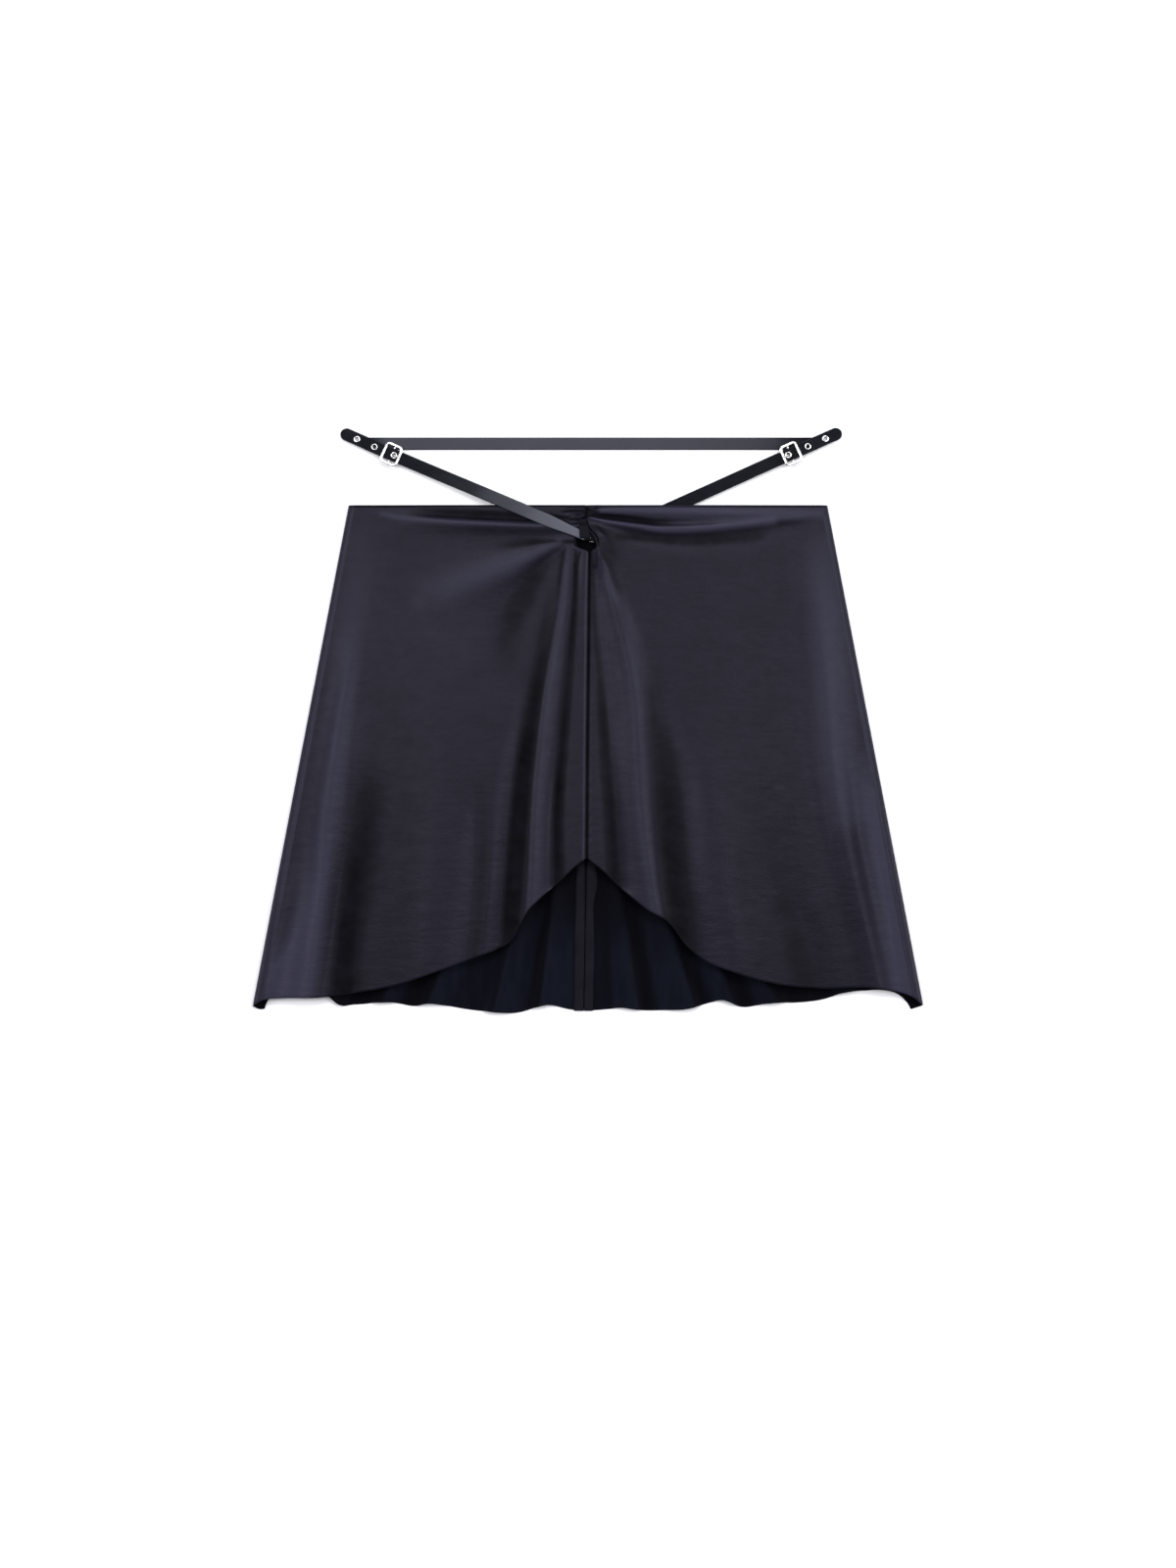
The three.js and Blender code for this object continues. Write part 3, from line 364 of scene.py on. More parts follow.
# edges of the front panels along the centre front: drop, left, right
centreFront = [
    (0, -0.9, -0.6), (1.6, -1.3, -1.0), (4.8, -0.7, -0.4), (6.9, -1.8, -1.5), (8.8, -1.3, -1.0),
    (11.2, -3.7, -3.4), (14.2, -2.7, -2.4), (16, -3.0, -2.4), (18.8, -4.6, -0.6), (21.6, -6.0, 2.2),
    (24.5, -7.2, 5.0), (28, -9.2, 6.6), (31.5, -9.6, 7.0), (34, -8.4, 6.6), (35.8, -4.2, 5.0), (37.4, 1.8, 2.1),
    (64, 0.8, 1.1), (200, -0.7, -0.4), (288, -1.3, -1.0),
]
frontHem = {
    -1: [(0, 287.5), (9.5, 294.5), (23, 306.5), (41.5, 322.5), (49.5, 331), (56, 343), (59.5, 350), (64, 356),
         (73, 361), (92, 368.5), (120, 378.5), (152, 389.5), (188, 397), (216, 400.8), (250, 401.6),
         (264, 403), (273, 407)],
    1: [(0, 287.5), (10.5, 296), (27, 312), (48, 329), (67.5, 341.5), (79, 357.5), (93, 369.5), (117, 379.6),
        (152, 389.6), (189, 393.6), (229, 393), (251, 396), (264, 400.5), (273, 407)],
}
backHem = {
    -1: [(0, 412.4), (12, 411), (32, 407.5), (40, 409.6), (49, 412.6), (79, 412.8), (96, 411), (116, 407.6),
         (130, 406.2), (136, 408), (160, 405), (188, 407), (203, 406.6), (210, 401), (240, 399.5),
         (253, 402.5), (260, 409), (267, 411), (273, 408.5)],
    1: [(0, 412.4), (20, 410.8), (31, 409.6), (44, 411.6), (66, 411.6), (84, 410.4), (102, 405.4), (112, 403.2),
        (125, 408.8), (148, 406), (176, 405.2), (192, 403), (208, 397.6), (224, 396), (246, 398.5),
        (253, 405), (259, 410.4), (268, 409.4), (273, 407.5)],
}
slit = {"x": 7.0, "spread": 15.0, "from": 12.0, "top": 27.0, "ebb": 34.0, "liftRight": 3.6, "liftLeft": -1.0,
        "strap": 11.1}

# Creases of the front. Each is a line of (x, drop, half width, rise). Where "lean" is given, the side
# to the right of the line, looking along it, is that much wider or narrower.
creases = [
    # left: the long ridges and troughs from the knot to the arch
    {"line": [(-14, 36, 2.6, 0.4), (-18, 41, 3, 1.1), (-22, 83, 4, 1.7), (-30, 130, 5.4, 2.4),
              (-36, 166, 6.4, 2.8), (-44, 237, 8, 3.5), (-48, 309, 9, 4), (-51, 345, 10, 4.2),
              (-53, 365, 10, 4.2)], "lean": 1.4},
    {"line": [(-11, 38, 2, -0.5), (-13, 90, 3, -1.3), (-18, 150, 4, -1.6), (-23, 203, 4.6, -2.2),
              (-27, 255, 5.2, -2.7), (-27, 310, 6, -2.6)]},
    {"line": [(-46, 130, 7, 0), (-55, 195, 9, -1.9), (-61, 255, 10, -3.6), (-64, 310, 11, -4.4),
              (-67, 350, 12, -4.6), (-69, 380, 12, -4.6)], "lean": 1.1},
    # left: the fan of folds that the strap draws towards the knot
    {"line": [(-20, 29, 4, 0.5), (-34, 36, 6, 1.3), (-56, 47, 10, 1.8), (-80, 56, 15, 1.9),
              (-105, 64, 19, 1.5), (-130, 73, 22, 0.8), (-155, 84, 22, 0)]},
    {"line": [(-21, 36, 3, -0.3), (-30, 43, 5, -1), (-45, 60, 10, -1.5), (-59, 82, 14, -1.6),
              (-68, 105, 17, -1.2), (-72, 135, 19, -0.6), (-72, 165, 19, 0)]},
    {"line": [(-8, 17.4, 1.8, 0.7), (-20, 17.2, 2.2, 1.3), (-50, 16.4, 2.6, 1.8), (-84, 14.6, 3, 1.8),
              (-120, 13, 3.6, 1.4), (-146, 10.5, 4.4, 1), (-168, 7, 5, 0.5), (-186, 4, 5, 0.2)
              ], "lean": 2.6},
    {"line": [(-10, 12.4, 1.8, -0.7), (-30, 11.8, 2.8, -1.5), (-60, 10.8, 3.4, -1.6), (-100, 9, 3.6, -1.2),
              (-130, 7, 3.6, -0.5), (-150, 6, 3.2, 0)]},
    # left: side ridge, its trough, and the soft flutes above the hem
    {"line": [(-190, 96, 9, 0), (-194, 130, 8, 1.7), (-200, 166, 8, 2.4), (-206, 203, 9, 2.7),
              (-214, 259, 10, 3), (-217, 307, 10, 3.2), (-225, 355, 11, 3.5), (-231, 400, 12, 3.6)]},
    {"line": [(-184, 200, 12, 0), (-188, 259, 13, -1.5), (-196, 307, 12, -2.4), (-201, 355, 11, -2.9),
              (-204, 400, 11, -3)]},
    {"line": [(-120, 150, 20, 0), (-126, 230, 20, 0.7), (-128, 300, 20, 1.3), (-134, 395, 22, 1.8)]},
    {"line": [(-88, 225, 7, 0), (-90, 262, 8, -1.2), (-92, 310, 9, -1.8), (-98, 376, 10, -2.2)]},
    {"line": [(-236, 290, 6, 0), (-243, 322, 7, 0.9), (-258, 380, 7, 1.5), (-266, 406, 7, 1.3)]},
    # right: the long ridge with its troughs
    {"line": [(7, 38, 3, 0.9), (13, 51, 4.4, 1.7), (22, 83, 6.5, 2.3), (34, 130, 8, 2.8), (39, 165, 9, 3),
              (41, 203, 9, 3.2), (45, 259, 10, 3.7), (53, 310, 11, 4.1), (62, 350, 12, 4.3),
              (66, 370, 12, 4.3)], "lean": 1.2},
    {"line": [(6, 52, 2.6, -0.6), (8, 99, 4, -1), (14, 150, 5, -1.3), (17, 203, 6, -1.9),
              (22, 259, 6.5, -2.9), (25, 310, 7, -2.9)]},
    {"line": [(48, 120, 9, 0), (60, 180, 11, -1.6), (69, 240, 12, -3.2), (71, 307, 12, -4.2),
              (77, 352, 13, -4.6), (81, 384, 13, -4.6)], "lean": 1.15},
    # right: the folds along the waist
    {"line": [(2, 3.6, 1.4, 0.6), (8, 5, 2.4, 0.9), (26, 4.2, 4, 0.9), (70, 4.6, 4.6, 0.8),
              (130, 6.6, 4, 0.6), (170, 6, 3.6, 0.3), (192, 4, 3.6, 0)]},
    {"line": [(3, 8.6, 1, -0.9), (10, 9.2, 1.4, -2.2), (24, 10.6, 1.7, -2.8), (38, 12.6, 1.9, -2),
              (54, 14.4, 2, -0.9), (80, 15, 2.4, -0.3), (110, 13.4, 2.6, 0)]},
    {"line": [(2, 10.4, 2.2, 0.6), (10, 12, 3, 1.3), (18, 13.6, 3.6, 1.6), (40, 16.8, 4.4, 1.5),
              (60, 19.2, 5, 1.3), (96, 18.2, 5.6, 1.2), (130, 15.2, 5.6, 1), (166, 11, 5, 0.7),
              (191, 8, 5, 0.3)], "lean": 0.6},
    {"line": [(22, 25, 4, 0), (40, 26.6, 5, -0.7), (70, 28.4, 7, -1), (100, 28, 8, -1),
              (130, 24.6, 8, -0.9), (158, 19, 7, -0.6), (182, 13.6, 6, -0.2)]},
    # right: side ridge, hem flutes and the highlight along the edge
    {"line": [(184, 50, 14, 0), (190, 99, 13, 1.6), (195, 147, 12, 2.3), (199, 203, 12, 2.5),
              (207, 259, 12, 2.7), (218, 307, 12, 3), (231, 355, 12, 3.3), (241, 398, 12, 3.4)]},
    {"line": [(212, 190, 5, 0), (219, 259, 5, -0.8), (228, 307, 6, -1.1), (238, 355, 7, -1.4),
              (248, 400, 7, -1.8)]},
    {"line": [(94, 160, 18, 0), (101, 245, 18, 1), (108, 307, 18, 1.5), (118, 355, 18, 1.8),
              (124, 392, 18, 1.8)]},
    {"line": [(236, 235, 5, 0), (240, 262, 6, 0.8), (252, 326, 6, 1.2), (262, 384, 6, 1.2),
              (266, 404, 6, 1.1)]},
    {"line": [(146, 220, 13, 0), (162, 307, 14, -1.2), (178, 355, 14, -1.9), (185, 398, 14, -2.3)]},
    # the small gathers round the knot
    {"line": [(-3, 3.6, 1.2, 0.6), (-12, 3.4, 1.5, 0.7), (-24, 4.2, 1.8, 0)]},
    {"line": [(-3.5, 6.6, 0.9, -0.5), (-12, 6.6, 1.1, -0.6), (-24, 7, 1.4, 0)]},
    {"line": [(-5, 8.6, 1.1, 0.6), (-13, 11.4, 1.4, 0.6), (-22, 13, 1.5, 0)]},
    {"line": [(-4, 12, 1, -0.5), (-10, 14.4, 1.2, -0.6), (-18, 15.4, 1.3, 0)]},
    {"line": [(0.6, 3.2, 1.2, 0.9), (4, 3.2, 1.5, 1), (8, 3.6, 1.4, 0)]},
    {"line": [(-0.5, 6.8, 0.9, -0.6), (6, 6.8, 1, -0.5), (12, 6, 1.1, 0)]},
    {"line": [(8, 20, 1.6, 0.3), (13, 26, 2.4, 0.4), (18, 36, 3, 0.2), (21, 46, 3, 0)]},
    {"line": [(-5, 39, 1.4, 0.4), (-7, 46, 1.8, 0.6), (-8, 66, 2.2, 0.3), (-8, 92, 2.4, 0)]},
    {"line": [(7.2, 32, 0.6, -0.2), (7.6, 38, 0.7, -0.5), (8.2, 46, 0.8, -0.4), (9.4, 58, 1, 0)]},
    {"line": [(-20, 40, 3, 0), (-30, 47, 4, 0.4), (-40, 62, 5, 0.3), (-46, 84, 6, 0)]},
]


# gloss and painted light of the front: on the flat, how much slope and height add, how far out slope counts,
# round the side (a painted highlight)
sheenPainting = {"flat": 0.4, "slope": 0.5, "height": 0.02, "outTo": 0.8, "side": 0.65}
# painted highlights and painted shade on the front apart from its folds, with gloss to match: lines of
# (x, drop, half width, share)
paintedLightLines = [
    # sides and lower corners
    {"line": [(-186, 30, 16, 0.1), (-194, 110, 13, 0.25), (-204, 203, 11, 0.4), (-214, 270, 12, 0.42),
              (-228, 345, 14, 0.7), (-242, 385, 18, 1.2), (-250, 404, 18, 1.4)]},
    {"line": [(-178, 215, 16, 0), (-188, 290, 14, -0.2), (-198, 350, 10, -0.36), (-202, 398, 10, -0.4)]},
    {"line": [(192, 40, 15, 0.25), (196, 110, 15, 0.4), (202, 190, 15, 0.4), (212, 250, 15, 0.3)]},
    {"line": [(228, 215, 11, 0.2), (241, 275, 13, 0.8), (253, 330, 14, 1), (262, 392, 14, 1)]},
    # crests and valleys of the long ridges
    {"line": [(-18, 50, 2.4, 0.16), (-23, 83, 3.2, 0.24), (-30, 130, 4.2, 0.22), (-37, 175, 5, 0.16),
              (-44, 237, 6, 0.14), (-50, 320, 8, 0.2), (-53, 370, 9, 0.24)]},
    {"line": [(-28, 60, 5, 0), (-36, 105, 5, -0.16), (-42, 147, 6, -0.24), (-51, 203, 6.5, -0.34),
              (-57, 259, 7, -0.44), (-61, 307, 7, -0.46), (-64, 380, 8, -0.42)]},
    {"line": [(12, 48, 2.4, 0.2), (20, 70, 3.4, 0.3), (32, 93, 4.4, 0.32), (41, 142, 6, 0.3),
              (47, 198, 7, 0.26), (51, 270, 8, 0.24), (58, 330, 9, 0.26)]},
    {"line": [(-11, 40, 1.5, -0.2), (-13, 86, 2, -0.3), (-20, 160, 3, -0.3), (-27, 245, 4, -0.36),
              (-27, 305, 5, -0.34)]},
    {"line": [(9, 140, 3.6, 0), (13, 175, 4.2, -0.14), (19, 227, 4.4, -0.14), (23, 276, 4.8, -0.22),
              (26, 320, 5.4, -0.2)]},
    {"line": [(-12, 30, 1.6, -0.3), (-32, 30, 2.4, -0.3), (-48, 31, 3.4, -0.24), (-70, 34, 5, -0.1)]},
    {"line": [(56, 165, 10, 0), (68, 215, 10, -0.12), (74, 290, 11, -0.24), (82, 380, 12, -0.22)]},
    # folds that run to the knot
    {"line": [(-23, 30, 3, 0.24), (-60, 46, 8, 0.34), (-100, 61, 12, 0.3), (-135, 74, 14, 0.1)]},
    {"line": [(-32, 42, 4, -0.06), (-46, 60, 8, -0.16), (-66, 96, 12, -0.16), (-76, 150, 16, 0)]},
    {"line": [(-12, 17.4, 1.4, 0.3), (-84, 14.6, 1.8, 0.5), (-145, 11.2, 2, 0.5), (-168, 7, 2, 0.3)]},
    {"line": [(-16, 11, 2.6, -0.1), (-60, 9.8, 3, -0.24), (-110, 8, 3, -0.2), (-150, 6, 3, 0)]},
    {"line": [(12, 4.8, 3, 0.5), (50, 5, 3.6, 0.6), (110, 6, 5, 0.55), (170, 7, 5, 0.4), (192, 7, 5, 0.3)]},
    {"line": [(3, 8.6, 1, -0.4), (12, 9.6, 1.8, -0.9), (28, 11, 2.2, -0.9), (48, 13.4, 2.2, -0.4),
              (70, 14, 2.4, 0)]},
    {"line": [(3, 10.8, 0.8, 0.7), (18, 13.8, 1.2, 1.2), (40, 17, 1.6, 1.2), (60, 19.8, 2.2, 1),
              (96, 18.6, 3, 0.7), (150, 13, 4, 0.45)]},
    {"line": [(24, 26, 2, -0.1), (44, 27, 2.4, -0.2), (90, 29, 4, -0.2), (140, 25, 5, -0.1)]},
    {"line": [(-110, 110, 50, 0.1), (-100, 190, 40, 0)]},
]


def sideAt(drop):
    t = drop / sideSeam
    return (mix(panel["waistHalf"], panel["hemHalf"], t), mix(panel["reachWaist"], panel["reachHem"], t),
            mix(panel["seamWaist"], panel["seamHem"], t), mix(panel["topWaist"], panel["topHem"], t))


# rise of one crease over arrays of points: rise * exp(-(gap / width)^2), with gap the distance to
# the nearest stretch of its line, and width and rise carried along that line
def creaseRise(crease, x, drop):
    line = spline(crease["line"], 8 * len(crease["line"]))
    lean = crease.get("lean", 1)
    reach = 3 * line[:, 2].max() * max(lean, 1)
    low, high = line[:, :2].min(axis=0) - reach, line[:, :2].max(axis=0) + reach
    near = (x > low[0]) & (x < high[0]) & (drop > low[1]) & (drop < high[1])
    rise = np.zeros_like(x)
    px, pd = x[near], drop[near]
    best = np.full(px.shape, 1e9)
    found = np.zeros(px.shape)
    for a, b in zip(line[:-1], line[1:]):
        step = b[:2] - a[:2]
        t = np.clip(((px - a[0]) * step[0] + (pd - a[1]) * step[1]) / (step @ step), 0, 1)
        dx, dd = px - a[0] - t * step[0], pd - a[1] - t * step[1]
        gap = np.hypot(dx, dd)
        closer = gap < best
        right = (dx * step[1] - dd * step[0]) > 0
        width = mix(a[2], b[2], t) * np.where(right, lean, 1)
        best = np.where(closer, gap, best)
        found = np.where(closer, mix(a[3], b[3], t) * np.exp(-(gap / width) ** 2), found)
    rise[near] = found
    return rise


# top of the front: a level middle that rounds down to the sides, plus the creases and the slit
def frontTop(x, drop, side):
    half, reach, _, top = sideAt(drop)
    middle = mix(panel["waistHeight"], panel["hemHeight"], smooth(drop / sideSeam))
    share = np.abs(x) / (half - reach)
    crown = mix(middle, top, smooth((share - panel["crownFlat"]) / (1 - panel["crownFlat"])))
    height = crown + sum(creaseRise(crease, x, drop) for crease in creases)
    height = height - 0.9 * (1 - smooth(drop / 2.4))
    rise = smooth((drop - slit["from"]) / (slit["top"] - slit["from"]))
    swell = rise * (1 - smooth((drop - slit["top"]) / slit["ebb"]))
    near = np.exp(-(((np.abs(x) - slit["x"]) / slit["spread"]) ** 2))
    lift = slit["liftRight"] if side > 0 else slit["liftLeft"]
    return height + lift * swell * near


# normals of a grid, turned to look up or down at its middle
def gridNormals(grid, up):
    across = np.gradient(grid, axis=0)
    down = np.gradient(grid, axis=1)
    normal = unit(np.cross(across, down))
    u, v = grid.shape[:2]
    return normal * (1 if np.sign(normal[u // 3, v // 2, 2]) == up else -1)


softDrops = np.arange(0, 290, 0.25)
softKernel = np.hanning(15) / np.hanning(15).sum()


def softEdge(column):
    drops, left, right = np.array(centreFront, float).T
    values = np.interp(softDrops, drops, left if column < 0 else right)
    return np.convolve(np.pad(values, 7, mode="edge"), softKernel, mode="valid")


# front panels
# across: share t - 0.6 sin(2 pi t) / (2 pi), closer together at the centre and the side, then a
# quarter turn round the side fold; down: straight columns from the waist to the hem
def frontPanel(side):
    t = np.linspace(0, 1, 151)
    share = np.concatenate([t - 0.6 * np.sin(2 * np.pi * t) / (2 * np.pi), np.ones(16)])
    turn = np.concatenate([np.zeros(151), np.linspace(0, np.pi / 2, 17)[1:]])
    bend = np.sin(turn)
    outWaist = share * (panel["waistHalf"] - panel["reachWaist"]) + panel["reachWaist"] * bend
    outHem = share * (panel["hemHalf"] - panel["reachHem"]) + panel["reachHem"] * bend
    hemDrop = read(frontHem[side], outHem)[:, None]
    v = np.linspace(0, 1, 251)
    v = v - 0.55 * np.sin(2 * np.pi * v) / (2 * np.pi)
    drop = mix(287.5 * v, hemDrop * v, smooth(3 * v))
    out = mix(outWaist[:, None], outHem[:, None], drop / hemDrop)
    x = side * out + np.interp(drop, softDrops, softEdge(side)) * (1 - smooth(out / 28))
    seam = sideAt(drop)[2] + panel["gap"] / 2
    top = frontTop(x, drop, side)
    # painted light and shade: crests and the flanks that face the centre get a lighter colour and more gloss,
    # troughs and outer flanks stay dark and dull
    slope = np.gradient(top, axis=0) / np.maximum(np.gradient(out, axis=0), 0.2)
    glossAndPaintedSheen = sheenPainting["flat"] + sheenPainting["slope"] * slope * (out < sideAt(drop)[0] * sheenPainting["outTo"])
    glossAndPaintedSheen = glossAndPaintedSheen + sheenPainting["height"] * sum(creaseRise(crease, x, drop) for crease in creases)
    glossAndPaintedSheen = glossAndPaintedSheen + sum(creaseRise(lightLine, x, drop) for lightLine in paintedLightLines)
    # a painted highlight along the left edge of the centre seam
    glossAndPaintedSheen = glossAndPaintedSheen + 0.4 * np.exp(-((out - 2.3) / 0.8) ** 2) * smooth((drop - 34) / 8) * (side < 0)
    upper = 1 - smooth((drop - 24) / 16)
    # the painted sheen fades out towards the centre seam
    glossAndPaintedSheen = np.clip(glossAndPaintedSheen, 0, 1) * (1 - np.exp(-(out / mix(1.3, 2.2, upper)) ** 2))
    # painted highlight round the side fold
    glossAndPaintedSheen = np.where(turn[:, None] > 0, sheenPainting["side"], glossAndPaintedSheen)
    z = seam + (top - seam) * np.maximum(np.cos(turn), 0)[:, None] ** 0.45
    # the seam edge rolls in, and so do the turned edges of the slit, the waist and the hem
    z = z - mix(1.0, 1.7, upper) * np.exp(-(out / mix(1.0, 1.5, upper)) ** 2)
    below = smooth((drop - 40) / 20)
    if side < 0:
        z = z + 0.25 * below * np.exp(-((out - 1.9) / 0.7) ** 2)
    else:
        z = z - 0.1 * below * np.exp(-((out - 2) / 1.1) ** 2) * (1 + np.sin(drop / 1.3))
    outer = np.stack([x, waistY - drop, z], axis=-1)
    normal = gridNormals(outer, 1)
    normal[-1, :, 2] = 0
    normal[0, :, :2] = 0
    normal = unit(normal)
    toHem = hemDrop - drop
    roll = 0.34 * (1 - smooth(np.minimum(toHem, drop) / 1.1))[..., None]
    inner = outer - normal * (panel["leather"] - roll)
    outer = outer - normal * roll
    return outer, inner, glossAndPaintedSheen


for side, name in ((-1, "left"), (1, "right")):
    outer, inner, glossAndPaintedSheen = frontPanel(side)
    piece = shellPiece("front_panel_" + name, outer, inner, [frontLeather, insideSuede], "front_leather", 1,
                       values={"glossAndPaintedSheen": glossAndPaintedSheen, "paintedLight": 0.3 + 0 * glossAndPaintedSheen})
    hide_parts("front_" + name)
print("front panels built")

# back panels
flutes = {
    -1: [{"crest": 37.5, "gentle": 20, "steep": 8, "rise": 6.5, "starts": 190},
         {"crest": 76, "gentle": 24, "steep": 9, "rise": 7, "starts": 170},
         {"crest": 130, "gentle": 22, "steep": 11, "rise": 7, "starts": 200},
         {"crest": 168, "gentle": 18, "steep": 10, "rise": 7, "starts": 220},
         {"crest": 208, "gentle": 14, "steep": 12, "rise": 5.5, "starts": 230}],
    1: [{"crest": 39, "gentle": 20, "steep": 9, "rise": 6.5, "starts": 190},
        {"crest": 86, "gentle": 26, "steep": 10, "rise": 7, "starts": 170},
        {"crest": 117, "gentle": 15, "steep": 9, "rise": 7, "starts": 210},
        {"crest": 153, "gentle": 17, "steep": 12, "rise": 7, "starts": 220},
        {"crest": 214, "gentle": 20, "steep": 12, "rise": 5.5, "starts": 230}],
}
back = {"edge": 8.6, "gather": 1.3, "side": 232.0, "drift": -3.4, "driftDrop": 412.0, "fanRoot": 110.0,
        "fanReach": 90.0}


def fluteColumn(out, t):
    share = np.maximum(out - back["edge"], 0) / (panel["hemHalf"] - back["edge"])
    top = np.minimum(out, back["edge"]) + (panel["waistHalf"] - back["edge"]) * share ** back["gather"]
    return mix(top, out, t)


# a flute's crest leaves the hem along a line that meets the centre back at the fan's root
def crestAt(crest, drop, hemDrop):
    fan = 1 - np.minimum(hemDrop - drop, back["fanReach"]) / (hemDrop - back["fanRoot"])
    return crest * np.maximum(fan, 0.1)


def centreBack(drop):
    return back["drift"] * (drop / back["driftDrop"]) ** 2


# underside of the back: flat between flutes, each a gentle side towards the centre and a steep one
def backUnderside(out, drop, hemDrop, side):
    height = np.zeros_like(out)
    for flute in flutes[side]:
        crest = crestAt(flute["crest"], drop, hemDrop)
        away = out - crest
        fan = crest / flute["crest"]
        width = np.where(away < 0, flute["gentle"], flute["steep"]) * fan
        shape = smooth(1 - np.abs(away) / width)
        grown = smooth((drop - flute["starts"]) / (hemDrop - flute["starts"])) * flute["rise"]
        height = np.maximum(height, shape * grown)
    return height


# bands of painted light on the inside at the hem, standing in for where light catches it: from, to (the crest,
# a sharp edge), how light
litBands = {
    -1: [(7, 36, 1), (46, 75, 0.85), (75, 108, 0.42), (108, 129, 0.8), (150, 167, 0.6)],
    1: [(6, 22, 0.3), (22, 43, 0.9), (58, 88.5, 0.95), (101, 120, 0.8), (137, 155, 0.6), (203, 219, 0.5)],
}


# painted light on each band, with a soft edge towards the centre and a sharp one at the crest, fading
# upwards into painted shade under the front
def paintedLightBands(out, drop, hemDrop, side):
    scale = crestAt(1.0, drop, hemDrop)
    value = np.zeros_like(out)
    for start, end, light in litBands[side]:
        soft = smooth((out - scale * (start - 3)) / (9 * scale))
        lift = soft * (1 - smooth((out - scale * (end - 0.8)) / (2.4 * scale)))
        value = np.maximum(value, light * lift)
    wander = 0.06 * np.sin(out / 3.1 + drop / 21) + 0.05 * np.sin(out / 1.7 - drop / 33)
    return np.clip((value + wander) * smooth((drop - hemDrop + 105) / 80), 0, 1)


def backPanel(side):
    flat = panel["hemHalf"] - panel["reachHem"]
    marks = [0.0, 3, 6, 8.2, 8.6]
    for flute in flutes[side]:
        marks += list(flute["crest"] - flute["gentle"] * np.linspace(0, 1, 16))
        marks += list(flute["crest"] + flute["steep"] * np.linspace(0, 1, 10))
    marks += list(np.linspace(back["side"], flat, 14))
    marks += list(np.linspace(9, back["side"], 60))
    marks = np.unique(np.round(marks, 2))
    keep = [marks[0]]
    for m in marks[1:]:
        if m - keep[-1] > 0.7 and m <= flat:
            keep.append(m)
    keep[-1] = flat
    turn = np.concatenate([np.zeros(len(keep)), np.linspace(0, np.pi / 2, 17)[1:]])
    outHem = np.concatenate([keep, flat + panel["reachHem"] * np.sin(turn[len(keep):])])
    t = np.linspace(0, 1, 171)
    t = t + 0.42 * (t - t * t)
    out0 = outHem[:, None]
    hemDrop = read(backHem[side], outHem)[:, None]
    drop = hemDrop * t
    half, reach, seamTop, _ = sideAt(drop)
    flatOut = fluteColumn(out0, t[None])
    roundOut = half - reach + reach * np.sin(turn)[:, None]
    share = (out0 - back["side"]) / (flat - back["side"])
    folded = turn[:, None] > 0
    placed = np.where(folded, roundOut, mix(flatOut, np.maximum(flatOut, roundOut), smooth(share)))
    x = side * (placed + panel["gap"] / 2) + centreBack(drop) * (1 - out0 / panel["hemHalf"])
    seam = seamTop - panel["gap"] / 2
    under = np.where(folded, 0, backUnderside(placed, drop, hemDrop, side))
    z = seam + (under - seam) * np.cos(turn)[:, None]
    outer = np.stack([x, waistY - drop, z], axis=-1)
    normal = gridNormals(outer, -1)
    normal[-1, :, 2] = 0
    normal[0, :, :2] = 0
    normal = unit(normal)
    inner = outer - normal * panel["leather"]
    return outer, inner, paintedLightBands(placed, drop, hemDrop, side)


allowance = {
    "gap": 0.3, "height": 1.85,
    "left": [(0, 8), (300, 8), (340, 7.9), (412.4, 8.1)],
    "right": [(0, 9), (300, 9.2), (314, 9.2), (319, 7.9), (360, 7.6), (412.4, 7.4)],
}
for side, name in ((-1, "left"), (1, "right")):
    outer, inner, paintedLight = backPanel(side)
    piece = shellPiece("back_panel_" + name, outer, inner, [grainLeather, insideSuede], "back_leather", 1,
                       values={"paintedLight": paintedLight})
    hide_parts("back_" + name)
    # the pressed-open seam allowance: a strip of the grain side that comes up out of the centre seam
    drops = np.linspace(0, 412.3, 180)
    widths = allowance["right" if side > 0 else "left"]
    width = read(widths, drops) + 0.22 * np.sin(drops / 17) + 0.14 * np.sin(drops / 5.3 + side)
    across = np.linspace(0, 1, 13)[:, None]
    x = side * (allowance["gap"] + across * (width - allowance["gap"])) + centreBack(drops)
    level = allowance["height"] + 0.22 * np.sin(np.pi * across) + 0.07 * np.sin(drops / 9 + side)
    upper = level - 0.75 * np.exp(-(across * width / 0.8) ** 2) - 0.4 * smooth((across - 0.86) / 0.14)
    y = waistY - drops + 0 * x
    strip = shellPiece("back_allowance_" + name, np.stack([x, y, upper], axis=-1),
                       np.stack([x, y, np.full_like(x, 0.9)], axis=-1), [allowanceLeather], "back_leather")
drops = np.linspace(1, 411, 120)
path = np.stack([centreBack(drops), waistY - drops, np.full_like(drops, 1.05)], axis=1)
wide = np.tile([0.42, 0, 0], (len(drops), 1))
ribbonPiece("back_seam_thread", path, wide, np.tile([0, 0, 0.16], (len(drops), 1)), strapProfile(0.42, 0.16),
            [seamThreadAndShade], "back_leather")
print("back panels built")

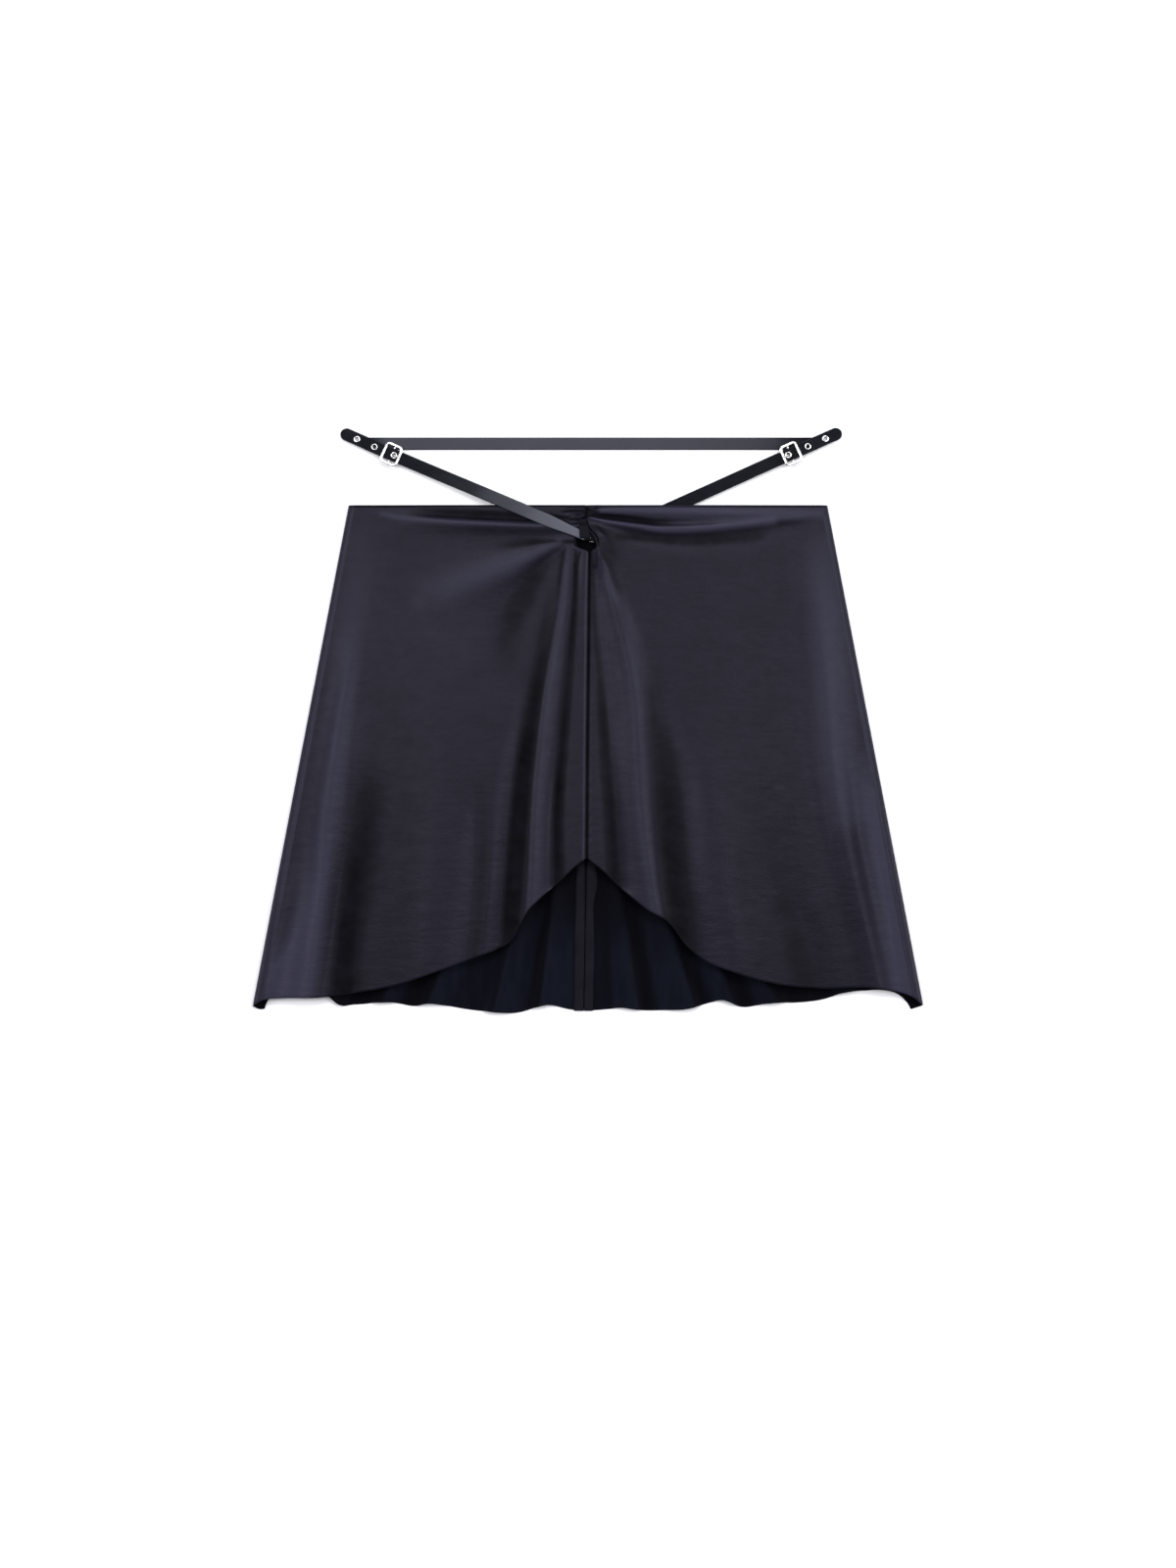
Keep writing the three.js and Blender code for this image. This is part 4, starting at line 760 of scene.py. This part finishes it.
# straps
strap = {"width": 10.2, "thick": 1.2, "tip": 45.3, "gap": 0.3}
arms = {
    -1: {"x": -160.1, "y": 216.2, "tip": 0.45, "arm": 0.425},
    1: {"x": 165.3, "y": 216.6, "tip": 0.449, "arm": 0.449},
}
endRise = [(-45.3, 2.1), (-38, 2.9), (-31, 3.5), (-23, 4.1), (-15, 4.95), (-8, 5.75), (-5, 6.25), (0, 7.0),
           (5, 6.25), (8, 5.75), (16, 5.2)]
slitTurn = [(-1.2, 149.6, 0.3, 3.5), (2.4, 148.6, 1.4, 3.2), (6.6, 147.9, 2.2, 3.3), (10.6, 147.9, 2.6, 3.9),
            (15, 149.4, 3.2, 4.4), (20, 151.5, 4.8, 4.8), (27, 154.6, 6.2, 5.1)]
eyeletPlaces = [-31, -15.1, 2.2]


def armPoint(side, along, height):
    arm = arms[side]
    slope = arm["tip"] if along < 0 else arm["arm"]
    run = along / math.hypot(1, slope)
    return [arm["x"] - side * run, arm["y"] - slope * run, height]


def overFront(x, y):
    dx, dy = np.meshgrid(np.arange(-4, 5, 1.0), np.arange(-6, 7, 1.0))
    drop = waistY - (y + dy.ravel())
    on = drop > -1
    if not on.any():
        return 0
    top = frontTop(x + dx.ravel()[on], np.maximum(drop[on], 0), -1).max()
    return top + strap["gap"] + strap["thick"] / 2 + 0.1


# rows of x, y, height, half width and gloss with painted sheen
def frontStrapRows():
    full = strap["width"] / 2
    rows = []

    def halfAt(along):
        fromTip = along + strap["tip"]
        return full if fromTip >= full else math.sqrt(max(full ** 2 - (full - fromTip) ** 2, 0.2))

    ends = [-45.3, -45.1, -44.6, -43.8, -42.6, -41.2, -40.2, -38, -35, -31, -27, -23, -19, -15, -11.5, -8, -5,
            -2.5, 0, 2.5, 5, 8, 12, 16]

    def addEnd(side, along):
        rows.append([*armPoint(side, along, float(read(endRise, along))), halfAt(along), 0.02])

    for along in ends:
        addEnd(-1, along)
    arrive = (160.1 - 3) * math.hypot(1, 0.425)
    # along the left arm the gloss column paints a highlight that grows towards the knot
    for along in np.arange(26, arrive, 8):
        x, y, _ = armPoint(-1, along, 0)
        hang = mix(5.2, slit["strap"], float(smooth((along - 16) / 84)))
        rows.append([x, y, max(hang, overFront(x, y)), mix(full, 3.5, float(smooth((x + 34) / 27))),
                     0.4 * float(smooth((along - 16) / 100)) + 0.34 * float(smooth((along - 100) / 60))])
    for x, y, below, half in slitTurn:
        rows.append([x, y, max(slit["strap"] - below, 4.8), half, 0.3])
    for along in np.arange((165.3 - 36) * math.hypot(1, 0.449), 22, -12):
        rows.append([*armPoint(1, along, mix(5.2, 3.6, float(smooth((along - 16) / 60)))), full, 0])
    for along in ends[::-1]:
        addEnd(1, along)
    return rows


def courseVectors(at, half, thick):
    course = unit(np.gradient(at, axis=0))
    level = unit(np.stack([-course[:, 1], course[:, 0], 0 * course[:, 0]], axis=1))
    upright = np.cross(course, level)
    return level * half[:, None], upright * thick


# cuts closed shapes out of a piece
def cutPiece(piece, cutter):
    modifier = piece.modifiers.new("cut", "BOOLEAN")
    modifier.operation = "DIFFERENCE"
    modifier.solver = "EXACT"
    modifier.object = cutter
    bpy.context.view_layer.objects.active = piece
    bpy.ops.object.modifier_apply(modifier=modifier.name)
    bpy.data.objects.remove(cutter)
    piece.data.shade_smooth()
    piece.data.set_sharp_from_angle(angle=math.radians(40))


# place and axes of an eyelet: origin, along, across, up
def eyeletFrame(side, along):
    a = np.array(armPoint(side, along - 1, float(read(endRise, along - 1))))
    b = np.array(armPoint(side, along + 1, float(read(endRise, along + 1))))
    course = unit(b - a)
    across = unit(np.array([-course[1], course[0], 0]))
    up = np.cross(course, across)
    return (a + b) / 2, course, across, up if up[2] > 0 else -up


# a ring turned round an axis from a closed profile of (radius, height)
def turnedPoints(profile, at, e1, e2, up, count):
    profile = np.array(profile, float)
    angle = np.linspace(0, 2 * np.pi, count, endpoint=False)[:, None, None]
    around = np.cos(angle) * e1 + np.sin(angle) * e2
    points = at + profile[None, :, :1] * around + profile[None, :, 1:] * up
    k = len(profile)
    i = np.arange(count)[:, None] * k
    j = ((np.arange(count) + 1) % count)[:, None] * k
    step = np.arange(k)
    ahead = (step + 1) % k
    quads = np.stack([i + step, i + ahead, j + ahead, j + step], axis=-1).reshape(-1, 4)
    return points.reshape(-1, 3), quads


def joined(parts):
    points, quads, first = [], [], 0
    for p, q in parts:
        points.append(p)
        quads.append(q + first)
        first += len(p)
    return np.concatenate(points), np.concatenate(quads)


def plugPoints(at, e1, e2, up, radius, reach, count=32):
    angle = np.linspace(0, 2 * np.pi, count, endpoint=False)[:, None]
    ring = at + radius * (np.cos(angle) * e1 + np.sin(angle) * e2)
    points = np.concatenate([ring - up * reach, ring + up * reach, [at - up * reach], [at + up * reach]])
    i = np.arange(count)
    j = (i + 1) % count
    wallQuads = np.stack([i, j, j + count, i + count], axis=1)
    k = np.arange(0, count, 2)
    low = np.stack([np.full(len(k), 2 * count), (k + 2) % count, (k + 1) % count, k], axis=1)
    high = np.stack([np.full(len(k), 2 * count + 1), k + count, (k + 1) % count + count,
                     (k + 2) % count + count], axis=1)
    return points, np.concatenate([wallQuads, low, high])


rows = spline(frontStrapRows(), 900)
half, thick = courseVectors(rows[:, :3], np.maximum(rows[:, 3], 0.4), strap["thick"] / 2)
profile = strapProfile(strap["width"] / 2, strap["thick"] / 2)
frontStrap = ribbonPiece("front_strap_leather", rows[:, :3], half, thick, profile,
                         [strapLeather, edgePaint, loopLeatherAndShade], "strap_leather", 1,
                         values={"glossAndPaintedSheen": rows[:, 4]})
# painted shade: where it turns down through the slit the strap takes the darker loop leather
middles = np.empty(3 * len(frontStrap.data.polygons), np.float32)
frontStrap.data.polygons.foreach_get("center", middles)
x, y = middles.reshape(-1, 3)[:, 0] / mm, middles.reshape(-1, 3)[:, 1] / mm
index = np.empty(len(frontStrap.data.polygons), np.int32)
frontStrap.data.polygons.foreach_get("material_index", index)
index[(x > -3) & (x < 26) & (y < 160)] = 2
frontStrap.data.polygons.foreach_set("material_index", index)
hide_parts("front_strap")
plugs = []
for side in (-1, 1):
    for along in eyeletPlaces:
        at, e1, e2, up = eyeletFrame(side, along)
        plugs.append(plugPoints(at, e1, e2, up, 1.75, 3.0))
cutPiece(frontStrap, addPiece("strap_punch", *joined(plugs), [strapLeather], "strap_leather"))
print("front strap built")

pinLoop = [(-15, 2.1), (-6, 2.1), (-2.5, 2.1), (0, 2.1), (1.2, 2.6), (1.7, 3.8), (1.2, 5.0), (0, 5.5),
           (-2, 5.3), (-4.5, 4.4), (-7, 3.75), (-10.5, 3.65)]
backStrap = {"y": 225.4, "lower": 0.6, "upper": 2.1}


# the back strap's end: turned over along a slanted crease, then round the buckle's pin
def backStrapEnd(side):
    arm = arms[side]
    full = strap["width"] / 2
    along = (arm["y"] - backStrap["y"]) * math.hypot(1, arm["tip"]) / arm["tip"]
    crease = np.array(armPoint(side, along, 0))
    inward = np.array([-side, 0.0, 0.0])
    toBuckle = unit(np.array([-side, -arm["tip"], 0.0]))
    fold = unit(toBuckle - inward)
    slanted = fold * full / fold[1]
    outward = unit(np.array([slanted[1], -slanted[0], 0]))
    outward = outward if outward[0] * side > 0 else -outward
    radius = (backStrap["upper"] - backStrap["lower"]) / 2
    at, half, thick = [], [], []
    for degrees in np.linspace(-90, 90, 13):
        angle = math.radians(degrees)
        normal = outward * math.cos(angle) + np.array([0, 0, math.sin(angle)])
        at.append([crease[0], crease[1], backStrap["lower"] + radius] + normal * radius)
        half.append(slanted)
        thick.append(normal * strap["thick"] / 2)
    across = np.array([-toBuckle[1], toBuckle[0], 0])
    across = across if across[1] > 0 else -across
    course = spline([armPoint(side, a, h) for a, h in pinLoop], 90)
    tangent = unit(np.gradient(course, axis=0))
    square = np.cross(tangent, across)
    square = square * (1 if square[0] @ thick[-1] > 0 else -1)
    at = np.concatenate([at, course])
    half = np.concatenate([half, np.tile(across * full, (len(course), 1))])
    thick = np.concatenate([thick, square * strap["thick"] / 2])
    return at, half, thick


left, right = backStrapEnd(-1), backStrapEnd(1)
between = np.linspace(0, 1, 24)[1:-1, None]
at, half, thick = (np.concatenate([a[::-1], mix(a[0], b[0], between), b]) for a, b in zip(left, right))
half = half * np.sign(half[:, 1:2])
# painted highlight along the back strap, lighter on the left and middle than at the ends
strapPaintedSheen = np.interp(at[:, 0], [-182, -176, -60, 60, 150, 180], [0.02, 0.4, 0.44, 0.42, 0.32, 0.02])
backStrapPiece = ribbonPiece("back_strap_leather", at, half, thick, profile, [strapLeather, edgePaint],
                             "strap_leather", 1, values={"glossAndPaintedSheen": strapPaintedSheen})
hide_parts("back_strap")
slots = []
for side in (-1, 1):
    arm = arms[side]
    along = unit(np.array([-side, -arm["tip"], 0.0]))
    across = np.array([-along[1], along[0], 0.0])
    box = np.array([[a, b, c] for a in (-3.2, 3.2) for b in (-1.2, 1.2) for c in (1.4, 7.0)])
    points = np.array([arm["x"], arm["y"], 0]) + box[:, :1] * along + box[:, 1:2] * across
    points = points + box[:, 2:] * [0, 0, 1]
    faces = np.array([[0, 1, 3, 2], [4, 6, 7, 5], [0, 4, 5, 1], [2, 3, 7, 6], [0, 2, 6, 4], [1, 5, 7, 3]])
    slots.append((points, faces))
cutPiece(backStrapPiece, addPiece("strap_slot", *joined(slots), [strapLeather], "strap_leather"))
print("back strap built")

# front loop: a dark tab, gathered lengthwise, that bends up over the strap
loopRows = [(12.2, -3.5, 2.4, 0), (14.6, -3.9, 3, 0.2), (17.6, -3.5, 3.7, 0.85), (20.4, -3.1, 4, 1),
            (23.4, -2.8, 4.2, 1), (25.8, -2.6, 4.3, 0.95), (27.4, -2.6, 4, 0.8)]
drop, x, half, climb = spline(loopRows, 70).T
seat = frontTop(np.array([-6.0, -3.7, -1.4]), np.array([12.6, 12.6, 15.2]), -1).max() + 0.8
top = slit["strap"] + 0.6 + 0.3 + 0.5 + 0.13
at = np.stack([x, waistY - drop, mix(seat, top, climb)], axis=1)
tangent = unit(np.gradient(at, axis=0))
across = np.array([[1.0, 0, 0]]) * np.ones((len(at), 1))
place = np.linspace(-0.93, 0.93, 24)
gathered = [(a, 1 + 0.55 * (1 - a * a) + 0.5 * math.cos(10.5 * a + 0.8) * (1 - a ** 4)) for a in place[::-1]]
loopProfile = [(a, -1) for a in place] + [(0.985, -0.6), (1, 0), (0.985, 0.6)] + gathered
loopProfile += [(-0.985, 0.6), (-1, 0), (-0.985, -0.6)]
loop = ribbonPiece("front_loop_leather", at, across * half[:, None], np.cross(across, tangent) * 0.5,
                   loopProfile, [loopLeatherAndShade], "front_leather")
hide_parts("front_loop")


# a round cord of leather along rows of (x, drop, height, radius), with closed ends
def cordPiece(name, rows, material, slot, steps=60, count=16):
    rows = spline(rows, steps)
    path = np.stack([rows[:, 0], waistY - rows[:, 1], rows[:, 2]], axis=1)
    tangent = unit(np.gradient(path, axis=0))
    side = unit(np.cross(tangent, [0, 0, 1.0]))
    angle = np.linspace(0, 2 * np.pi, count, endpoint=False)
    profile = np.stack([np.cos(angle), np.sin(angle)], axis=1)
    upright = np.cross(side, tangent)
    return ribbonPiece(name, path, side * rows[:, 3:], upright * rows[:, 3:], profile, [material], slot)


# the rolled edge of the right front along the slit, the strap's turned edge in it, and a near-black
# sheet under it that stands in for the shade in the open slit (painted shade)
slitEdge = {
    "rows": [(-3.2, 16.6), (-1.4, 18.6), (1.2, 21.2), (3.9, 23.8), (6.0, 27), (7.2, 31), (7.3, 35),
             (5.4, 37.6)],
    "radius": 0.62,
}
edgeRows = []
for k, (x, drop) in enumerate(slitEdge["rows"]):
    height = float(frontTop(np.array([x + 0.5]), np.array([drop]), 1)[0]) - 0.25
    edgeRows.append((x, drop, height, slitEdge["radius"] * (0.5 if k in (0, 7) else 1)))
cordPiece("slit_edge_right", edgeRows, grainLeather, "front_leather")
cordPiece("slit_turn_upper", [(0.9, 26.8, 10.4, 0.35), (1.6, 26.9, 10.9, 0.75), (2.4, 27.0, 10.9, 0.75),
                              (3.1, 27.2, 10.3, 0.35)], glossLeather, "strap_leather", 24)
cordPiece("slit_turn_lower", [(0.8, 30.0, 9.8, 0.35), (2, 30.1, 10.5, 0.7), (4.4, 30.3, 10.5, 0.7),
                              (6, 30.5, 9.8, 0.35)], glossLeather, "strap_leather", 24)
# painted shade: a near-black sheet in the open slit under the strap
u, v = np.meshgrid(np.linspace(-1, 1, 25), np.linspace(0, 1, 25), indexing="ij")
x = 0.2 + 9.6 * u
drop = 22 + 20 * v
hollow = 6.6 - 1.4 * np.sin(np.pi * v) * (1 - u * u) + 0.3 * np.sin(5 * u + 2 * v)
shadeSheet = np.stack([x, waistY - drop, hollow], axis=-1)
shellPiece("slit_painted_shade", shadeSheet, shadeSheet - [0, 0, 0.8], [seamThreadAndShade], "front_leather")
print("knot built")

# buckles
buckle = {"length": 15.8, "width": 18.2, "bar": 2.6, "corner": 4.0, "thick": 1.6, "bottom": 7.1, "pin": 0.7,
          "pinHeight": 3.8, "post": 0.9}


# points of a tube along a closed or open path, with a flat-topped oval section
def tubePoints(path, up, halfWide, halfHigh, closed, count=16):
    path = np.array(path, float)
    course = np.roll(path, -1, axis=0) - np.roll(path, 1, axis=0) if closed else np.gradient(path, axis=0)
    tangent = unit(course)
    side = unit(np.cross(tangent, up))
    lift = np.cross(side, tangent)
    angle = np.linspace(0, 2 * np.pi, count, endpoint=False)
    a = np.sign(np.cos(angle)) * np.abs(np.cos(angle)) ** 0.7
    b = np.sign(np.sin(angle)) * np.abs(np.sin(angle)) ** 0.7
    wide = np.broadcast_to(np.asarray(halfWide, float), len(path))[:, None, None]
    high = np.broadcast_to(np.asarray(halfHigh, float), len(path))[:, None, None]
    points = path[:, None] + a[:, None] * wide * side[:, None] + b[:, None] * high * lift[:, None]
    n = len(path)
    step = np.arange(count)
    i = np.arange(n if closed else n - 1)
    j = (i + 1) % n
    ahead = (step + 1) % count
    i, j = i[:, None] * count, j[:, None] * count
    quads = np.stack([i + step, i + ahead, j + ahead, j + step], axis=-1).reshape(-1, 4)
    points = points.reshape(-1, 3)
    if not closed:
        for end, turned in ((0, True), (n - 1, False)):
            ring = end * count + step
            points = np.concatenate([points, path[end:end + 1]])
            k = np.arange(0, count, 2)
            fan = np.stack([np.full(len(k), len(points) - 1), ring[k], ring[(k + 1) % count],
                            ring[(k + 2) % count]], axis=1)
            quads = np.concatenate([quads, fan[:, ::-1] if turned else fan])
    return points, quads


def buckleAxes(side):
    arm = arms[side]
    tilt = math.atan(arm["tip"]) * side
    e1 = np.array([math.cos(tilt), math.sin(tilt), 0])
    e2 = np.array([-e1[1], e1[0], 0])
    return np.array([arm["x"], arm["y"], 0]), e1, e2


for side, name in ((-1, "left"), (1, "right")):
    centre, e1, e2 = buckleAxes(side)
    up = np.array([0, 0, 1.0])
    x = (buckle["length"] - buckle["bar"]) / 2
    y = (buckle["width"] - buckle["bar"]) / 2
    r = buckle["corner"] - buckle["bar"] / 2
    ring = []
    for cx, cy, start in ((x - r, y - r, 0), (r - x, y - r, 90), (r - x, r - y, 180), (x - r, r - y, 270)):
        for degrees in np.linspace(start, start + 90, 13):
            ring.append([cx + r * math.cos(math.radians(degrees)), cy + r * math.sin(math.radians(degrees))])
    ring = np.array(ring)
    height = buckle["bottom"] + buckle["thick"] / 2
    path = centre + ring[:, :1] * e1 + ring[:, 1:] * e2 + up * height
    parts = [tubePoints(path, up, buckle["bar"] * 0.43, buckle["thick"] / 2, True, 24)]
    pinPath = centre + np.linspace(-y, y, 12)[:, None] * e2 + up * buckle["pinHeight"]
    parts.append(tubePoints(pinPath, up, buckle["pin"], buckle["pin"], False))
    for end in (-1, 1):
        low = buckle["pinHeight"] - buckle["pin"]
        post = centre + end * y * e2 + np.linspace(low, height, 6)[:, None] * up
        parts.append(tubePoints(post, e1, buckle["post"], buckle["post"], False))
    piece = addPiece("buckle_frame_" + name, *joined(parts), [nickel], "nickel", sharp=55)
    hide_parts("buckle_" + name)
    # the prong: an open eye round the pin, then up through the third eyelet and over the frame
    eye = buckle["pin"] + 0.3 + 0.6
    over = buckle["bottom"] + buckle["thick"] + 0.3 + 0.6
    line = [(eye * math.cos(math.radians(d)), buckle["pinHeight"] + eye * math.sin(math.radians(d)))
            for d in (-110, -160, -210, -260)]
    line += [(1.8, 5.9), (2.15, 7.1), (2.45, 8.1), (3.25, 9.35), (4.8, over), (6.6, over), (8.2, over - 0.15)]
    along, high = spline(line, 90).T
    inward = -side * e1
    path = centre + along[:, None] * inward + high[:, None] * up
    taper = np.interp(np.arange(90), [0, 60, 84, 89], [0.6, 0.6, 0.52, 0.3])
    piece = addPiece("buckle_prong_" + name, *tubePoints(path, e2, taper, taper, False, 14), [nickel], "nickel",
                     sharp=55)
    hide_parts("prong_" + name)
    # eyelets: a rolled flange on the strap, and the barrel through it
    rings = []
    for place in eyeletPlaces:
        at, f1, f2, f3 = eyeletFrame(side, place)
        low = strap["thick"] / 2
        section = [(1.56, -low), (1.74, -low), (1.74, low + 0.06), (2.72, low + 0.08)]
        for a in np.linspace(0.15, np.pi - 0.2, 11):
            section.append((2.15 + 0.57 * math.cos(a), low + 0.1 + 0.5 * math.sin(a)))
        section += [(1.56, low + 0.05)]
        rings.append(turnedPoints(section, at, f1, f2, f3, 40))
    piece = addPiece("eyelets_" + name, *joined(rings), [nickel], "nickel", sharp=50)
    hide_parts(*["eyelet_%s_%d" % (name, k) for k in (1, 2, 3)])
print("buckles built")

# floor, light and camera
floorMesh = bpy.data.meshes.new("floor")
floorHalf, floorLevel = 4, -0.0002
corners = [(-floorHalf, -floorHalf), (floorHalf, -floorHalf), (floorHalf, floorHalf), (-floorHalf, floorHalf)]
floorMesh.from_pydata([(x, y, floorLevel) for x, y in corners], [], [(0, 1, 2, 3)])
floor = bpy.data.objects.new("floor", floorMesh)
bpy.context.scene.collection.objects.link(floor)
floorMaterial, nodes, links, shader = newMaterial("paleFloor")
place = nodes.new("ShaderNodeTexCoord").outputs["Object"]
cloud = addNoise(nodes, links, place, 3, detail=2)
tone = addRamp(nodes, links, cloud, [(0.3, (0.9,) * 3), (0.7, (0.92,) * 3)])
links.new(tone, shader.inputs["Base Color"])
shader.inputs["Roughness"].default_value = 0.9
shader.inputs["Specular IOR Level"].default_value = 0.1
floorMesh.materials.append(floorMaterial)
floor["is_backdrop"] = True


def addLight(name, place, target, size, power, colour=(1, 1, 1)):
    data = bpy.data.lights.new(name, "AREA")
    data.shape = "RECTANGLE"
    data.size, data.size_y = size
    data.energy = power
    data.color = colour
    light = bpy.data.objects.new(name, data)
    light.location = place
    light.rotation_euler = (Vector(target) - Vector(place)).to_track_quat("-Z", "Y").to_euler()
    bpy.context.scene.collection.objects.link(light)


addLight("leftLight", (-1.25, 0.35, 3.25), (0, 0, 0), (0.95, 2.0), 48, (0.94, 0.94, 1))
addLight("rightLight", (1.3, 0.35, 3.25), (0, 0, 0), (0.95, 2.0), 50, (0.94, 0.94, 1))
addLight("waistLight", (0.1, 1.45, 3.2), (0, 0.1, 0), (1.8, 0.7), 52, (0.94, 0.94, 1))
addLight("leftStrip", (-2.2, 0.1, 0.75), (-0.25, 0, 0), (2.4, 0.6), 30)
addLight("rightStrip", (2.2, 0.1, 0.75), (0.25, 0, 0), (2.4, 0.6), 40)
world = bpy.data.worlds.new("studio")
world.use_nodes = True
world.node_tree.nodes["Background"].inputs["Color"].default_value = (0.95, 0.96, 1, 1)
world.node_tree.nodes["Background"].inputs["Strength"].default_value = 0.12
bpy.context.scene.world = world
bpy.context.scene.view_settings.view_transform = "Standard"

cameraData = bpy.data.cameras.new("camera")
cameraData.lens = 84.375
cameraData.sensor_width = 36
camera = bpy.data.objects.new("camera", cameraData)
camera.location = (0, -0.0523, 3.0)
bpy.context.scene.collection.objects.link(camera)
bpy.context.scene.camera = camera

low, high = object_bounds()
print("scene ready")
